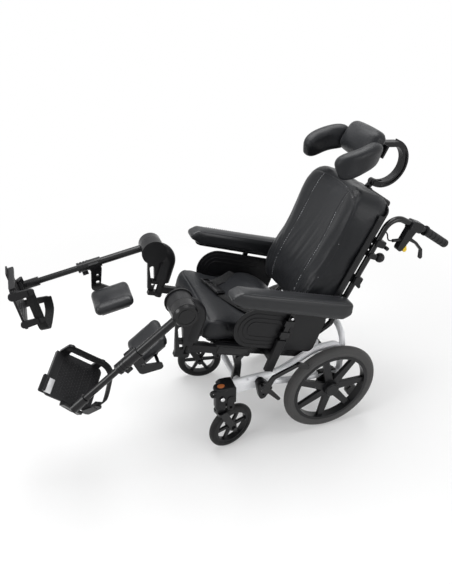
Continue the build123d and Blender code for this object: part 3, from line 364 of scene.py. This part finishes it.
def screws(name, spots, radius, mat, body):
    # domed heads with a hexagonal socket; each spot is (point, direction)
    bm = bmesh.new()
    high = radius * screwShape["crown"]
    hole = radius * screwShape["socket"]
    for point, direction in spots:
        place = facing(point, direction)
        dome = [(radius * a, high * b) for a, b in screwShape["dome"]]
        lathed(bm, place, [(radius, -screwShape["root"]), *dome, (hole * screwShape["rim"], high)])
        lathed(bm, place, [(hole, high * screwShape["depth"]), (hole, high + 0.0001)], 6)
    newPiece(name, meshOf(name, bm), mat, body, smooth=False)


# padded pieces, sewn from the forms in the frame
def islandsOf(node):
    # the separate bodies of a node's mesh, from the occupant's right to left
    bm = bmesh.new()
    bm.from_mesh(nodes[node].data)
    bmesh.ops.remove_doubles(bm, verts=bm.verts, dist=0.00001)
    seen = set()
    groups = []
    for first in bm.verts:
        if first in seen:
            continue
        seen.add(first)
        group = [first]
        for vert in group:
            others = [link.other_vert(vert) for link in vert.link_edges]
            fresh = [other for other in others if other not in seen]
            seen.update(fresh)
            group.extend(fresh)
        groups.append(group)
    found = []
    for group in groups:
        part = bmesh.new()
        index = {vert: part.verts.new(vert.co) for vert in group}
        for face in bm.faces:
            if face.verts[0] in index:
                part.faces.new([index[vert] for vert in face.verts])
        found.append((sum(vert.co.x for vert in group) / len(group), part))
    bm.free()
    return [part for middle, part in sorted(found, key=lambda pair: pair[0])]


plumping = dict(frames=20, quality=4, tension=12, bending=4, restored=0.6, inward=0.25, evenings=3)


def fattened(piece, shape, keepFlat=None, evenings=plumping["evenings"]):
    # remeshes a pad, swells it as cloth under pressure and caps how far it moves; the side that
    # faces keepFlat stays as it is
    shrink, cap = shape["shrink"], shape["cap"]
    remesh = piece.modifiers.new("even", "REMESH")
    remesh.mode = "VOXEL"
    remesh.voxel_size = shape["voxel"]
    applied(piece)
    normals = [vert.normal.copy() for vert in piece.data.vertices]
    hold = [1.0 if keepFlat is None else min(1.0, max(0.0, 1.2 - 2 * keepFlat.dot(n))) for n in normals]
    for vert, normal, free in zip(piece.data.vertices, normals, hold):
        vert.co -= normal * shrink * free
    base = [vert.co.copy() for vert in piece.data.vertices]
    moves = [normal * min(cap, shrink) * 0.5 * free for normal, free in zip(normals, hold)]
    cloth = piece.modifiers.new("air", "CLOTH")
    cloth.settings.use_pressure = True
    cloth.settings.uniform_pressure_force = shape["pressure"]
    cloth.settings.effector_weights.gravity = 0
    cloth.settings.quality = plumping["quality"]
    cloth.settings.tension_stiffness = plumping["tension"]
    cloth.settings.bending_stiffness = plumping["bending"]
    cloth.collision_settings.use_collision = False
    cloth.point_cache.frame_end = plumping["frames"]
    for step in range(1, plumping["frames"] + 1):
        bpy.context.scene.frame_set(step)
    applied(piece)
    bpy.context.scene.frame_set(1)
    moves = []
    for vert, old, normal, free in zip(piece.data.vertices, base, normals, hold):
        move = (vert.co - old) * free
        move -= normal * min(0, move.dot(normal)) * (1 - plumping["inward"])
        moves.append(move * min(1, cap / max(move.length, 1e-9)))
    for vert, old, normal, free, move in zip(piece.data.vertices, base, normals, hold, moves):
        vert.co = old + normal * shrink * plumping["restored"] * free + move
    bm = bmesh.new()
    bm.from_mesh(piece.data)
    for turn in range(evenings):
        bmesh.ops.smooth_vert(bm, verts=bm.verts, factor=0.5, use_axis_x=True, use_axis_y=True,
                              use_axis_z=True)
    bm.to_mesh(piece.data)
    bm.free()


def refined(piece):
    finer = piece.modifiers.new("finer", "SUBSURF")
    finer.levels = 1
    finer.render_levels = 1
    applied(piece)


rayStart = 0.4  # metres above the line that is laid on a piece


def surfaceLine(piece, place, points, towards, step=0.003):
    # a smooth line of points laid on the piece, seen along a direction of the local frame
    tree = BVHTree.FromObject(piece, bpy.context.evaluated_depsgraph_get())
    heading = (place.to_3x3() @ Vector(towards)).normalized()
    line = []
    for point in smoothPath(points, step):
        spot = place @ point
        hit, normal, index, distance = tree.ray_cast(spot - heading * rayStart, heading)
        if hit is not None:
            line.append((hit, normal if normal.dot(heading) < 0 else -normal))
    return line


def sewnChannel(piece, line, depth, width):
    # draws the skin in, or out where depth is negative, along a line
    tree = KDTree(len(line))
    for i, (spot, normal) in enumerate(line):
        tree.insert(spot, i)
    tree.balance()
    normals = [vert.normal.copy() for vert in piece.data.vertices]
    for vert, normal in zip(piece.data.vertices, normals):
        spot, index, away = tree.find(vert.co)
        if away < width * 3:
            vert.co -= normal * depth * math.exp(-(away / width) ** 2)
    piece.data.update()


stitchShape = dict(length=0.0044, gap=0.0024, radius=0.0007, lift=0.0008, sides=6, jump=0.02,
                   profile=((-0.5, 0.3), (-0.3, 1), (0.3, 1), (0.5, 0.3)))


def stitches(name, line, body, offset, mat="seamThread"):
    # short threads laid end to end on a surface line, offset to one side of it
    bm = bmesh.new()
    spots = []
    for i in range(1, len(line) - 1):
        ahead = (line[i + 1][0] - line[i - 1][0]).normalized()
        normal = line[i][1]
        spot = line[i][0] + ahead.cross(normal) * offset + normal * stitchShape["lift"]
        spots.append((spot, ahead, normal))
    pitch = stitchShape["length"] + stitchShape["gap"]
    reach = 0.0
    sides = stitchShape["sides"]
    for (a, ahead, up), after in zip(spots, spots[1:]):
        run = (after[0] - a).length
        reach += run
        if reach < pitch or run > stitchShape["jump"]:
            continue
        reach = 0.0
        side = ahead.cross(up).normalized()
        rings = []
        for along, thick in stitchShape["profile"]:
            middle = a + ahead * along * stitchShape["length"]
            ring = []
            for k in range(sides):
                angle = 2 * math.pi / sides * k
                spread = (side * math.cos(angle) + up * math.sin(angle)) * stitchShape["radius"] * thick
                ring.append(bm.verts.new(middle + spread))
            rings.append(ring)
        for first, second in zip(rings, rings[1:]):
            for k in range(sides):
                j = (k + 1) % sides
                bm.faces.new((first[k], first[j], second[j], second[k]))
        bm.faces.new(rings[0][::-1])
        bm.faces.new(rings[-1])
    newPiece(name, meshOf(name, bm), mat, body)


foldRate = 6  # waves to a metre along a fold


def creased(piece, place, spread, centre, direction, height, pitch, seed):
    # soft folds of loose cover round a place, running along a direction of the local frame
    back = place.inverted()
    along = Vector(direction).normalized()
    normals = [vert.normal.copy() for vert in piece.data.vertices]
    for vert, normal in zip(piece.data.vertices, normals):
        local = back @ vert.co
        away = local - Vector(centre)
        fade = math.exp(-sum((away[k] / spread[k]) ** 2 for k in range(3)))
        if fade < 0.02:
            continue
        run = away.dot(along)
        off = away - along * run
        across = Vector((0, off.x, off.y + off.z)) / pitch
        wave = noise.noise(Vector((run * foldRate + seed, 0, 0)) + across)
        vert.co += normal * height * fade * wave
    piece.data.update()


seatPad = dict(voxel=0.006, shrink=0.004, cap=0.0035, pressure=4, edgeX=0.181, front=-0.168, rear=0.214,
               waist=0.05, above=0.2, corner=0.030, rounding=0.3, bow=0.002, channel=0.0026,
               channelWidth=0.0028)


def seatCushion():
    part = islandsOf("seat_cushion")[0]
    piece = newPiece("seatCushion", meshOf("seatCushion", part), "upholstery", "seat")
    down = (seatFrame.to_3x3() @ Vector((0, 0, -1))).normalized()
    fattened(piece, seatPad, down)
    refined(piece)
    x, f, r, w, h, c = (seatPad[key] for key in ("edgeX", "front", "rear", "waist", "above", "corner"))
    near = c * seatPad["rounding"]
    half = [(-x, r, h), (-x, w, h), (-x, f + c, h), (-x + near, f + near, h), (-x + c, f, h)]
    welt = half + [(0, f - seatPad["bow"], h)] + [(-px, py, pz) for px, py, pz in reversed(half)]
    line = surfaceLine(piece, seatFrame, welt, (0, 0, -1))
    sewnChannel(piece, line, seatPad["channel"], seatPad["channelWidth"])
    piece.data.shade_smooth()
    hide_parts("seat_cushion")
    return piece


backPad = dict(voxel=0.006, shrink=0.004, cap=0.004, pressure=4, edgeX=0.172, bottom=0.12, waist=0.3,
               top=0.578, ahead=-0.2, corner=0.075, rounding=0.28, bow=0.006, channel=0.0022,
               channelWidth=0.0028, borderOffset=-0.0048)
backRow = dict(middleX=0.095, belly=1.02, bellyZ=0.33, head=0.96, share=0.6, offset=0.0042)
backFolds = [
    dict(spread=(0.10, 0.12, 0.13), centre=(0.17, -0.05, 0.20), direction=(0.2, 0.3, 1), height=0.0065,
         pitch=0.013, seed=3),
    dict(spread=(0.10, 0.12, 0.13), centre=(-0.17, -0.05, 0.20), direction=(-0.2, 0.3, 1), height=0.0065,
         pitch=0.013, seed=7),
    dict(spread=(0.13, 0.10, 0.13), centre=(0.02, -0.12, 0.27), direction=(0.22, 0, 1), height=0.0026,
         pitch=0.016, seed=11),
]


def backSeams():
    # name, points, share of the channel's depth and the thread's offset of each sewn line
    x, y, b, w, t, c = (backPad[key] for key in ("edgeX", "ahead", "bottom", "waist", "top", "corner"))
    near = c * backPad["rounding"]
    half = [(x, y, b), (x, y, w), (x, y, t - c), (x - near, y, t - near), (x - c, y, t)]
    border = half + [(0, y, t + backPad["bow"])] + [(-px, py, pz) for px, py, pz in reversed(half)]
    seams = []
    for i, m in enumerate((backRow["middleX"], -backRow["middleX"])):
        row = [(m, y, b), (m * backRow["belly"], y, backRow["bellyZ"]), (m * backRow["head"], y, t)]
        seams.append((f"backStitchRow_{i}", row, backRow["share"], backRow["offset"]))
    return seams + [("backStitchBorder", border, 1, backPad["borderOffset"])]


def backCushion():
    part = islandsOf("back_cushion")[0]
    piece = newPiece("backCushion", meshOf("backCushion", part), "upholstery", "back")
    rear = (backFrame.to_3x3() @ Vector((0, 1, 0))).normalized()
    fattened(piece, backPad, rear)
    for fold in backFolds:
        creased(piece, backFrame, **fold)
    refined(piece)
    for name, points, share, offset in backSeams():
        line = surfaceLine(piece, backFrame, points, (0, 1, 0))
        sewnChannel(piece, line, backPad["channel"] * share, backPad["channelWidth"])
    piece.data.shade_smooth()
    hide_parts("back_cushion")
    for name, points, share, offset in backSeams():
        stitches(name, surfaceLine(piece, backFrame, points, (0, 1, 0)), "back", offset)


headPad = dict(voxel=0.004, shrink=0.002, cap=0.003, pressure=3, fuller=0.0025, crown=0.013,
               middle=(0, 0.736), half=(0.096, 0.060))


def crowned(piece, centre):
    # fills a head pad out, and rounds the front and top of the neck pad
    back = backFrame.inverted()
    normals = [vert.normal.copy() for vert in piece.data.vertices]
    for vert, normal in zip(piece.data.vertices, normals):
        local = back @ vert.co
        aside = (local.x - headPad["middle"][0]) / headPad["half"][0]
        above = (local.z - headPad["middle"][1]) / headPad["half"][1]
        fade = max(0, 1 - aside ** 2) * max(0, 1 - above ** 2)
        if (back.to_3x3() @ normal).y < 0.3:
            vert.co += normal * headPad["crown"] * fade * centre
        vert.co += normal * headPad["fuller"]
    piece.data.update()


def headrestPads():
    for place, part in zip(("right", "centre", "left"), islandsOf("headrest_pads")):
        name = "headPad_" + place
        piece = newPiece(name, meshOf(name, part), "upholstery", "headrest")
        fattened(piece, headPad)
        crowned(piece, centre=place == "centre")
        refined(piece)
        piece.data.shade_smooth()
    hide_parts("headrest_pads")


armPadShape = dict(voxel=0.004, shrink=0.0015, cap=0.0025, pressure=3, middleX=0.235, edge=0.022,
                   rowY=(0.29, 0.1, -0.103), above=0.4, channel=0.0012, channelWidth=0.0020, offset=0.0028)


def armPad(side):
    sign = 1 if side == "left" else -1
    part = islandsOf("arm_pad_" + side)[0]
    name = "armPad_" + side
    piece = newPiece(name, meshOf(name, part), "paddedSkin", "armrest_" + side)
    down = (seatFrame.to_3x3() @ Vector((0, 0, -1))).normalized()
    fattened(piece, armPadShape, down)
    refined(piece)
    rows = []
    for k in (-1, 1):
        x = sign * armPadShape["middleX"] + k * armPadShape["edge"]
        rows.append([(x, y, armPadShape["above"]) for y in armPadShape["rowY"]])
    for row in rows:
        line = surfaceLine(piece, seatFrame, row, (0, 0, -1))
        sewnChannel(piece, line, armPadShape["channel"], armPadShape["channelWidth"])
    piece.data.shade_smooth()
    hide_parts("arm_pad_" + side)
    for k, row in enumerate(rows):
        line = surfaceLine(piece, seatFrame, row, (0, 0, -1))
        offset = armPadShape["offset"] * (-1) ** k
        stitches(f"armPadStitches_{side}_{k}", line, "armrest_" + side, offset, mat="darkThread")


calfShape = dict(voxel=0.004, shrink=0.002, cap=0.0035, pressure=3, evenings=8, plateY=0.1112)


def calfPad(side):
    # the pad in front of its moulded plate, cut from the one solid
    place = legFrame(side)
    cut = place @ Vector((0, calfShape["plateY"], 0))
    along = (place.to_3x3() @ Vector((0, 1, 0))).normalized()
    halves = []
    for keepRear in (False, True):
        part = islandsOf("calf_pad_" + side)[0]
        bmesh.ops.bisect_plane(part, geom=part.verts[:] + part.edges[:] + part.faces[:], plane_co=cut,
                               plane_no=along, clear_outer=not keepRear, clear_inner=keepRear)
        rim = [edge for edge in part.edges if edge.is_boundary]
        bmesh.ops.triangle_fill(part, edges=rim, use_beauty=True)
        halves.append(part)
    name = "calfPad_" + side
    pad = newPiece(name, meshOf(name, halves[0]), "paddedSkin", "calf_pad_" + side)
    fattened(pad, calfShape, along, calfShape["evenings"])
    refined(pad)
    pad.data.shade_smooth()
    newPiece("calfPadPlate_" + side, meshOf("calfPadPlate_" + side, halves[1]), "mouldedBlack",
             "calf_pad_" + side, smooth=False)
    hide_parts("calf_pad_" + side)


seat = seatCushion()
print("seat cushion sewn")
backCushion()
print("back cushion sewn")
headrestPads()
for side in ("left", "right"):
    armPad(side)
    calfPad(side)
print("pads sewn")


# lap belt
beltShape = dict(width=0.038, thickness=0.0022, rise=0.0016, lift=0.001, buckle=(-0.025, -0.084),
                 end=(0.182, 0.062), above=0.3, shares=(0, 0.3, 0.65, 1), spacing=0.02, turn=24)
buckleShape = dict(grip=0.036, probe=0.01, wide=0.046, high=0.012, rise=0.0095, edge=0.0016)


def buckleBlocks():
    # centre and size of each moulded bar: body, two prongs, tongue, end bars and the adjuster's frame
    wide, high = buckleShape["wide"], buckleShape["high"]
    blocks = [((0.012, 0, 0), (0.040, wide, high)), ((-0.018, 0, 0), (0.026, 0.013, high * 0.5)),
              ((-0.034, 0, 0), (0.008, wide, high * 0.9)), ((0.036, 0, 0), (0.006, wide, high * 0.8)),
              ((-0.060, 0, -0.001), (0.006, wide, high * 0.6))]
    for s in (1, -1):
        blocks.append(((-0.018, s * (wide / 2 - 0.006), 0), (0.030, 0.010, high * 0.7)))
        blocks.append(((-0.048, s * (wide / 2 - 0.003), -0.001), (0.026, 0.006, high * 0.6)))
    return blocks


def lapBelt():
    buckle = Vector((*beltShape["buckle"], beltShape["above"]))
    turn = math.radians(beltShape["turn"])
    along = Vector((math.cos(turn), math.sin(turn), 0))
    for name, s in (("lapBeltLeft", 1), ("lapBeltRight", -1)):
        start = buckle + along * (buckleShape["grip"] * s)
        end = Vector((s * beltShape["end"][0], beltShape["end"][1], beltShape["above"]))
        route = [start.lerp(end, share) for share in beltShape["shares"]]
        line = surfaceLine(seat, seatFrame, route, (0, 0, -1), beltShape["spacing"])
        up = (seatFrame.to_3x3() @ Vector((0, 0, 1))).normalized()
        rise = beltShape["rise"] + beltShape["thickness"] / 2
        points = [spot + normal * rise + up * beltShape["lift"] for spot, normal in line]
        side = seatFrame.to_3x3() @ Vector((-(end - start).y, (end - start).x, 0)).normalized()
        ribbon(name, points, side, beltShape["width"], beltShape["thickness"], "webbing",
                           "seat")
    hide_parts("lap_belt")
    probe = [buckle + along * (buckleShape["probe"] * s) for s in (-1, 0, 1)]
    laid = surfaceLine(seat, seatFrame, probe, (0, 0, -1))
    spot, normal = laid[len(laid) // 2]
    heading = (seatFrame.to_3x3() @ along).normalized()
    across = normal.cross(heading).normalized()
    heading = across.cross(normal)
    place = Matrix((heading, across, normal)).transposed().to_4x4()
    place = Matrix.Translation(spot + normal * buckleShape["rise"]) @ place
    bm = bmesh.new()
    for centre, size in buckleBlocks():
        block = place @ Matrix.Translation(centre) @ Matrix.Diagonal((*size, 1))
        made = bmesh.ops.create_cube(bm, size=1, matrix=block)
        edges = list({edge for vert in made["verts"] for edge in vert.link_edges})
        bmesh.ops.bevel(bm, geom=edges, offset=buckleShape["edge"], segments=2, affect="EDGES", profile=0.5)
    newPiece("beltBuckle", meshOf("beltBuckle", bm), "mouldedBlack", "seat")


lapBelt()
print("lap belt laid")


# heel straps
strapShape = dict(width=0.034, thickness=0.003, inner=-0.025, outer=-0.190, start=0.058, heel=0.104,
                  front=-0.090, edge=-0.193, height=0.046, lean=10, bend=0.040, rounding=0.3,
                  slack=dict(left=0.020, right=0))


def heelStrap(side):
    s = strapShape
    corner = s["bend"] * s["rounding"]
    heel = s["heel"] - s["slack"][side]
    flat = [(s["inner"], s["start"]), (s["inner"], heel - s["bend"]), (s["inner"] - corner, heel - corner),
            (s["inner"] - s["bend"], heel), (s["outer"] + s["bend"], heel),
            (s["outer"] + corner, heel - corner), (s["outer"], heel - s["bend"]), (s["outer"], 0.0),
            (s["outer"], s["front"])]
    turned = Matrix.Rotation(math.radians(-s["lean"]), 4, "Y")
    lean = Matrix.Translation((s["edge"], 0, s["height"])) @ turned @ Matrix.Translation((-s["edge"], 0, 0))
    sole = Matrix.Translation((0, 0, -legReach))
    hinge = Matrix.Translation((-hingeInset, 0, -legReach))
    flip = Matrix.Rotation(math.radians(footFlip[side]), 4, "Y")
    place = (legFrame(side) @ hinge @ flip @ hinge.inverted() @ sole @ turnX(footPitch[side]) @ lean)
    points = [place @ Vector((x, y, 0)) for x, y in flat]
    up = place.to_3x3() @ Vector((0, 0, 1))
    strap = ribbon("heelStrap_" + side, points, up, s["width"], s["thickness"], "webbing",
                   "footplate_" + side)
    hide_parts("heel_strap_" + side)


for side in ("left", "right"):
    heelStrap(side)


# brake cables
cableShape = dict(radius=0.0025,
                  route=[(0.190, 0.092, 0.480), (0.190, 0.078, 0.475), (0.190, 0.066, 0.482),
                         (0.190, 0.056, 0.496), (0.190, 0.044, 0.502), (0.190, 0.034, 0.502)])


def brakeCable(side):
    curve = bpy.data.curves.new("brakeCable_" + side, "CURVE")
    curve.dimensions = "3D"
    curve.bevel_depth = cableShape["radius"]
    curve.bevel_resolution = 4
    spline = curve.splines.new("NURBS")
    spline.points.add(len(cableShape["route"]) - 1)
    for point, spot in zip(spline.points, cableShape["route"]):
        placed = backFrame @ Vector(spot)
        if side == "right":
            placed.x = -placed.x
        point.co = (*placed, 1)
    spline.order_u = 3
    spline.use_endpoint_u = True
    curve.materials.append(finishes["cableSheath"])
    cable = bpy.data.objects.new("brakeCable_" + side, curve)
    bpy.context.scene.collection.objects.link(cable)
    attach(cable, "back")
    return cable


cables = [brakeCable(side) for side in ("left", "right")]
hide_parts("brake_cables")
print("straps and cables in place")


# small fittings
fitting = dict(proud=0.0005, housing=(0.003, 0.282), housingRadius=0.0085, post=(0.241, 0.108, 0.222),
               postRadius=0.0052, markShift=0.004, markOval=1.35,
               mark=[(0.0105, -0.001), (0.0105, 0.0006), (0.009, 0.0014)])


def fittings():
    # screws of the caster housings and arm posts, and the coloured marks on the caster heads
    for side, sign in (("left", 1), ("right", -1)):
        out = Vector((sign, 0, 0))
        stem = jointPoint("caster_swivel_" + side)
        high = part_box("caster_heads")[1]
        behind, height = fitting["housing"]
        spot = Vector((sign * (high.x + fitting["proud"]), stem.y + behind, height))
        screws("housingScrew_" + side, [(spot, out)], fitting["housingRadius"], "brightSteel", "chassis")
        x, y, z = fitting["post"]
        screws("postScrew_" + side, [(seatFrame @ Vector((sign * x, y, z)), out)], fitting["postRadius"],
               "brightSteel", "armrest_" + side)
        cap = Matrix.Translation((stem.x, stem.y + fitting["markShift"], high.z + 0.0001))
        bm = bmesh.new()
        lathed(bm, cap @ Matrix.Diagonal((1, fitting["markOval"], 1, 1)), fitting["mark"], 32)
        newPiece("headMark_" + side, meshOf("headMark_" + side, bm), "capOrange", "chassis",
                 smooth=False)


guardRib = dict(insets=(0.013, 0.030, 0.047), middle=0.155, half=0.079, nose=-0.012, straight=0.08,
                reach=0.176, face=0.2163, thick=0.0026)


def guardRibs(side):
    # raised ribs on the inner face of a side guard, round its nose
    sign = 1 if side == "left" else -1
    nose, middle, thick = guardRib["nose"], guardRib["middle"], guardRib["thick"]
    for k, inset in enumerate(guardRib["insets"]):
        radius = guardRib["half"] - inset
        turns = [math.radians(angle) for angle in range(0, 181, 15)]
        bow = [(nose - radius * math.sin(turn), middle + radius * math.cos(turn)) for turn in turns]
        upper = [(guardRib[key], middle + radius) for key in ("reach", "straight")]
        lower = [(guardRib[key], middle - radius) for key in ("straight", "reach")]
        points = [seatFrame @ Vector((sign * guardRib["face"], y, z)) for y, z in upper + bow + lower]
        ribbon(f"guardRib_{side}_{k}", points, (1, 0, 0), thick, thick, "mouldedBlack", "armrest_" + side)


stud = dict(radius=0.0021, high=0.0014, pitchX=0.0115, pitchY=0.0097, left=-0.182, right=-0.040,
            front=-0.070, rear=0.058, top=-0.004)


def treadStuds(side):
    # rows of small domes pressed in the tread
    bm = bmesh.new()
    place = footFrame(side)
    columns = int((stud["right"] - stud["left"]) / stud["pitchX"]) + 1
    rows = int((stud["rear"] - stud["front"]) / stud["pitchY"]) + 1
    r, h = stud["radius"], stud["high"]
    for row in range(rows):
        shift = stud["pitchX"] / 2 * (row % 2)
        for column in range(columns - row % 2):
            x = stud["left"] + column * stud["pitchX"] + shift
            spot = Vector((x, stud["front"] + row * stud["pitchY"], stud["top"]))
            lathed(bm, place @ Matrix.Translation(spot), [(r, -0.0004), (r, h * 0.5), (r * 0.6, h)], 8)
    newPiece("treadStuds_" + side, meshOf("treadStuds_" + side, bm), "mouldedBlack", "footplate_" + side)


receiver = dict(centre=(0.2006, -0.048, 0.040), size=(0.0016, 0.122, 0.026), edge=0.0006)
treadCorner = dict(centre=(-0.060, -0.090, -0.0030), size=(0.052, 0.024, 0.0024), edge=0.0008)


def barePlates():
    # unmarked plate on the near receiver block, and the bright corner plate of the half folded tread
    block = seatFrame @ Matrix.Translation(receiver["centre"])
    roundBlock("receiverPlate", block, receiver["size"], receiver["edge"], "blackLacquer", "seat")
    corner = footFrame("left") @ Matrix.Translation(treadCorner["centre"])
    roundBlock("treadCorner", corner, treadCorner["size"], treadCorner["edge"], "brushedAluminium",
               "footplate_left")


fittings()
barePlates()
for side in ("left", "right"):
    guardRibs(side)
    treadStuds(side)
print("fittings in place")


# floor, light
stageShape = dict(size=60.0, floorTone=0.90, shadowKeep=0.70, worldLow=0.24, near=0.70, far=2.0)


def raysSeen(nt):
    # 1 for camera, glossy and transmission rays, 0 for the rest
    rays = nt.nodes.new("ShaderNodeLightPath")
    seen = rays.outputs["Is Camera Ray"]
    for kind in ("Is Glossy Ray", "Is Transmission Ray"):
        either = nt.nodes.new("ShaderNodeMath")
        either.operation = "MAXIMUM"
        nt.links.new(seen, either.inputs[0])
        nt.links.new(rays.outputs[kind], either.inputs[1])
        seen = either.outputs["Value"]
    return seen


def stageFloor():
    bpy.ops.mesh.primitive_plane_add(size=stageShape["size"], location=(0, 0, -0.0005))
    floor = bpy.context.object
    floor.name = "studioFloor"
    mat = bpy.data.materials.new("studioFloor")
    mat.use_nodes = True
    nt = mat.node_tree
    out = nt.nodes["Material Output"]
    matt = nt.nodes["Principled BSDF"]
    matt.inputs["Base Color"].default_value = (*[stageShape["floorTone"]] * 3, 1)
    matt.inputs["Roughness"].default_value = 0.9
    matt.inputs["Specular IOR Level"].default_value = 0.1
    glow = nt.nodes.new("ShaderNodeEmission")
    glow.inputs["Strength"].default_value = 1.0
    place = nt.nodes.new("ShaderNodeTexCoord")
    away = nt.nodes.new("ShaderNodeVectorMath")
    away.operation = "LENGTH"
    nt.links.new(place.outputs["Object"], away.inputs[0])
    whiten = nt.nodes.new("ShaderNodeMapRange")
    whiten.interpolation_type = "SMOOTHSTEP"
    whiten.inputs["From Min"].default_value = stageShape["near"]
    whiten.inputs["From Max"].default_value = stageShape["far"]
    whiten.inputs["To Min"].default_value = 1 - stageShape["shadowKeep"]
    whiten.inputs["To Max"].default_value = 1
    nt.links.new(away.outputs["Value"], whiten.inputs["Value"])
    share = nt.nodes.new("ShaderNodeMath")
    share.operation = "MULTIPLY"
    nt.links.new(raysSeen(nt), share.inputs[0])
    nt.links.new(whiten.outputs["Result"], share.inputs[1])
    mix = nt.nodes.new("ShaderNodeMixShader")
    nt.links.new(share.outputs["Value"], mix.inputs["Fac"])
    nt.links.new(matt.outputs["BSDF"], mix.inputs[1])
    nt.links.new(glow.outputs["Emission"], mix.inputs[2])
    nt.links.new(mix.outputs["Shader"], out.inputs["Surface"])
    floor.data.materials.append(mat)


def studioWorld():
    world = bpy.data.worlds.new("studioWorld")
    bpy.context.scene.world = world
    world.use_nodes = True
    nt = world.node_tree
    shade = nt.nodes["Background"]
    shade.inputs["Color"].default_value = (1, 1, 1, 1)
    level = nt.nodes.new("ShaderNodeMapRange")
    level.inputs["To Min"].default_value = stageShape["worldLow"]
    level.inputs["To Max"].default_value = 1.0
    nt.links.new(raysSeen(nt), level.inputs["Value"])
    nt.links.new(level.outputs["Result"], shade.inputs["Strength"])


def lamp(name, spot, aim, watts, size):
    data = bpy.data.lights.new(name, "AREA")
    data.energy = watts
    data.size = size
    light = bpy.data.objects.new(name, data)
    light.location = spot
    light.rotation_euler = (Vector(aim) - Vector(spot)).to_track_quat("-Z", "Y").to_euler()
    bpy.context.scene.collection.objects.link(light)


studioLamps = dict(overhead=dict(spot=(-0.4, 0.1, 2.9), aim=(0, 0, 0.4), watts=88, size=2.2),
                   front=dict(spot=(0.6, -3.0, 2.2), aim=(0, 0, 0.5), watts=46, size=1.5),
                   flank=dict(spot=(3.0, 1.8, 1.5), aim=(0, 0.1, 0.5), watts=30, size=1.3))

stageFloor()
studioWorld()
for name, given in studioLamps.items():
    lamp(name, **given)
bpy.context.scene.view_settings.view_transform = "Standard"
print("stage lit")
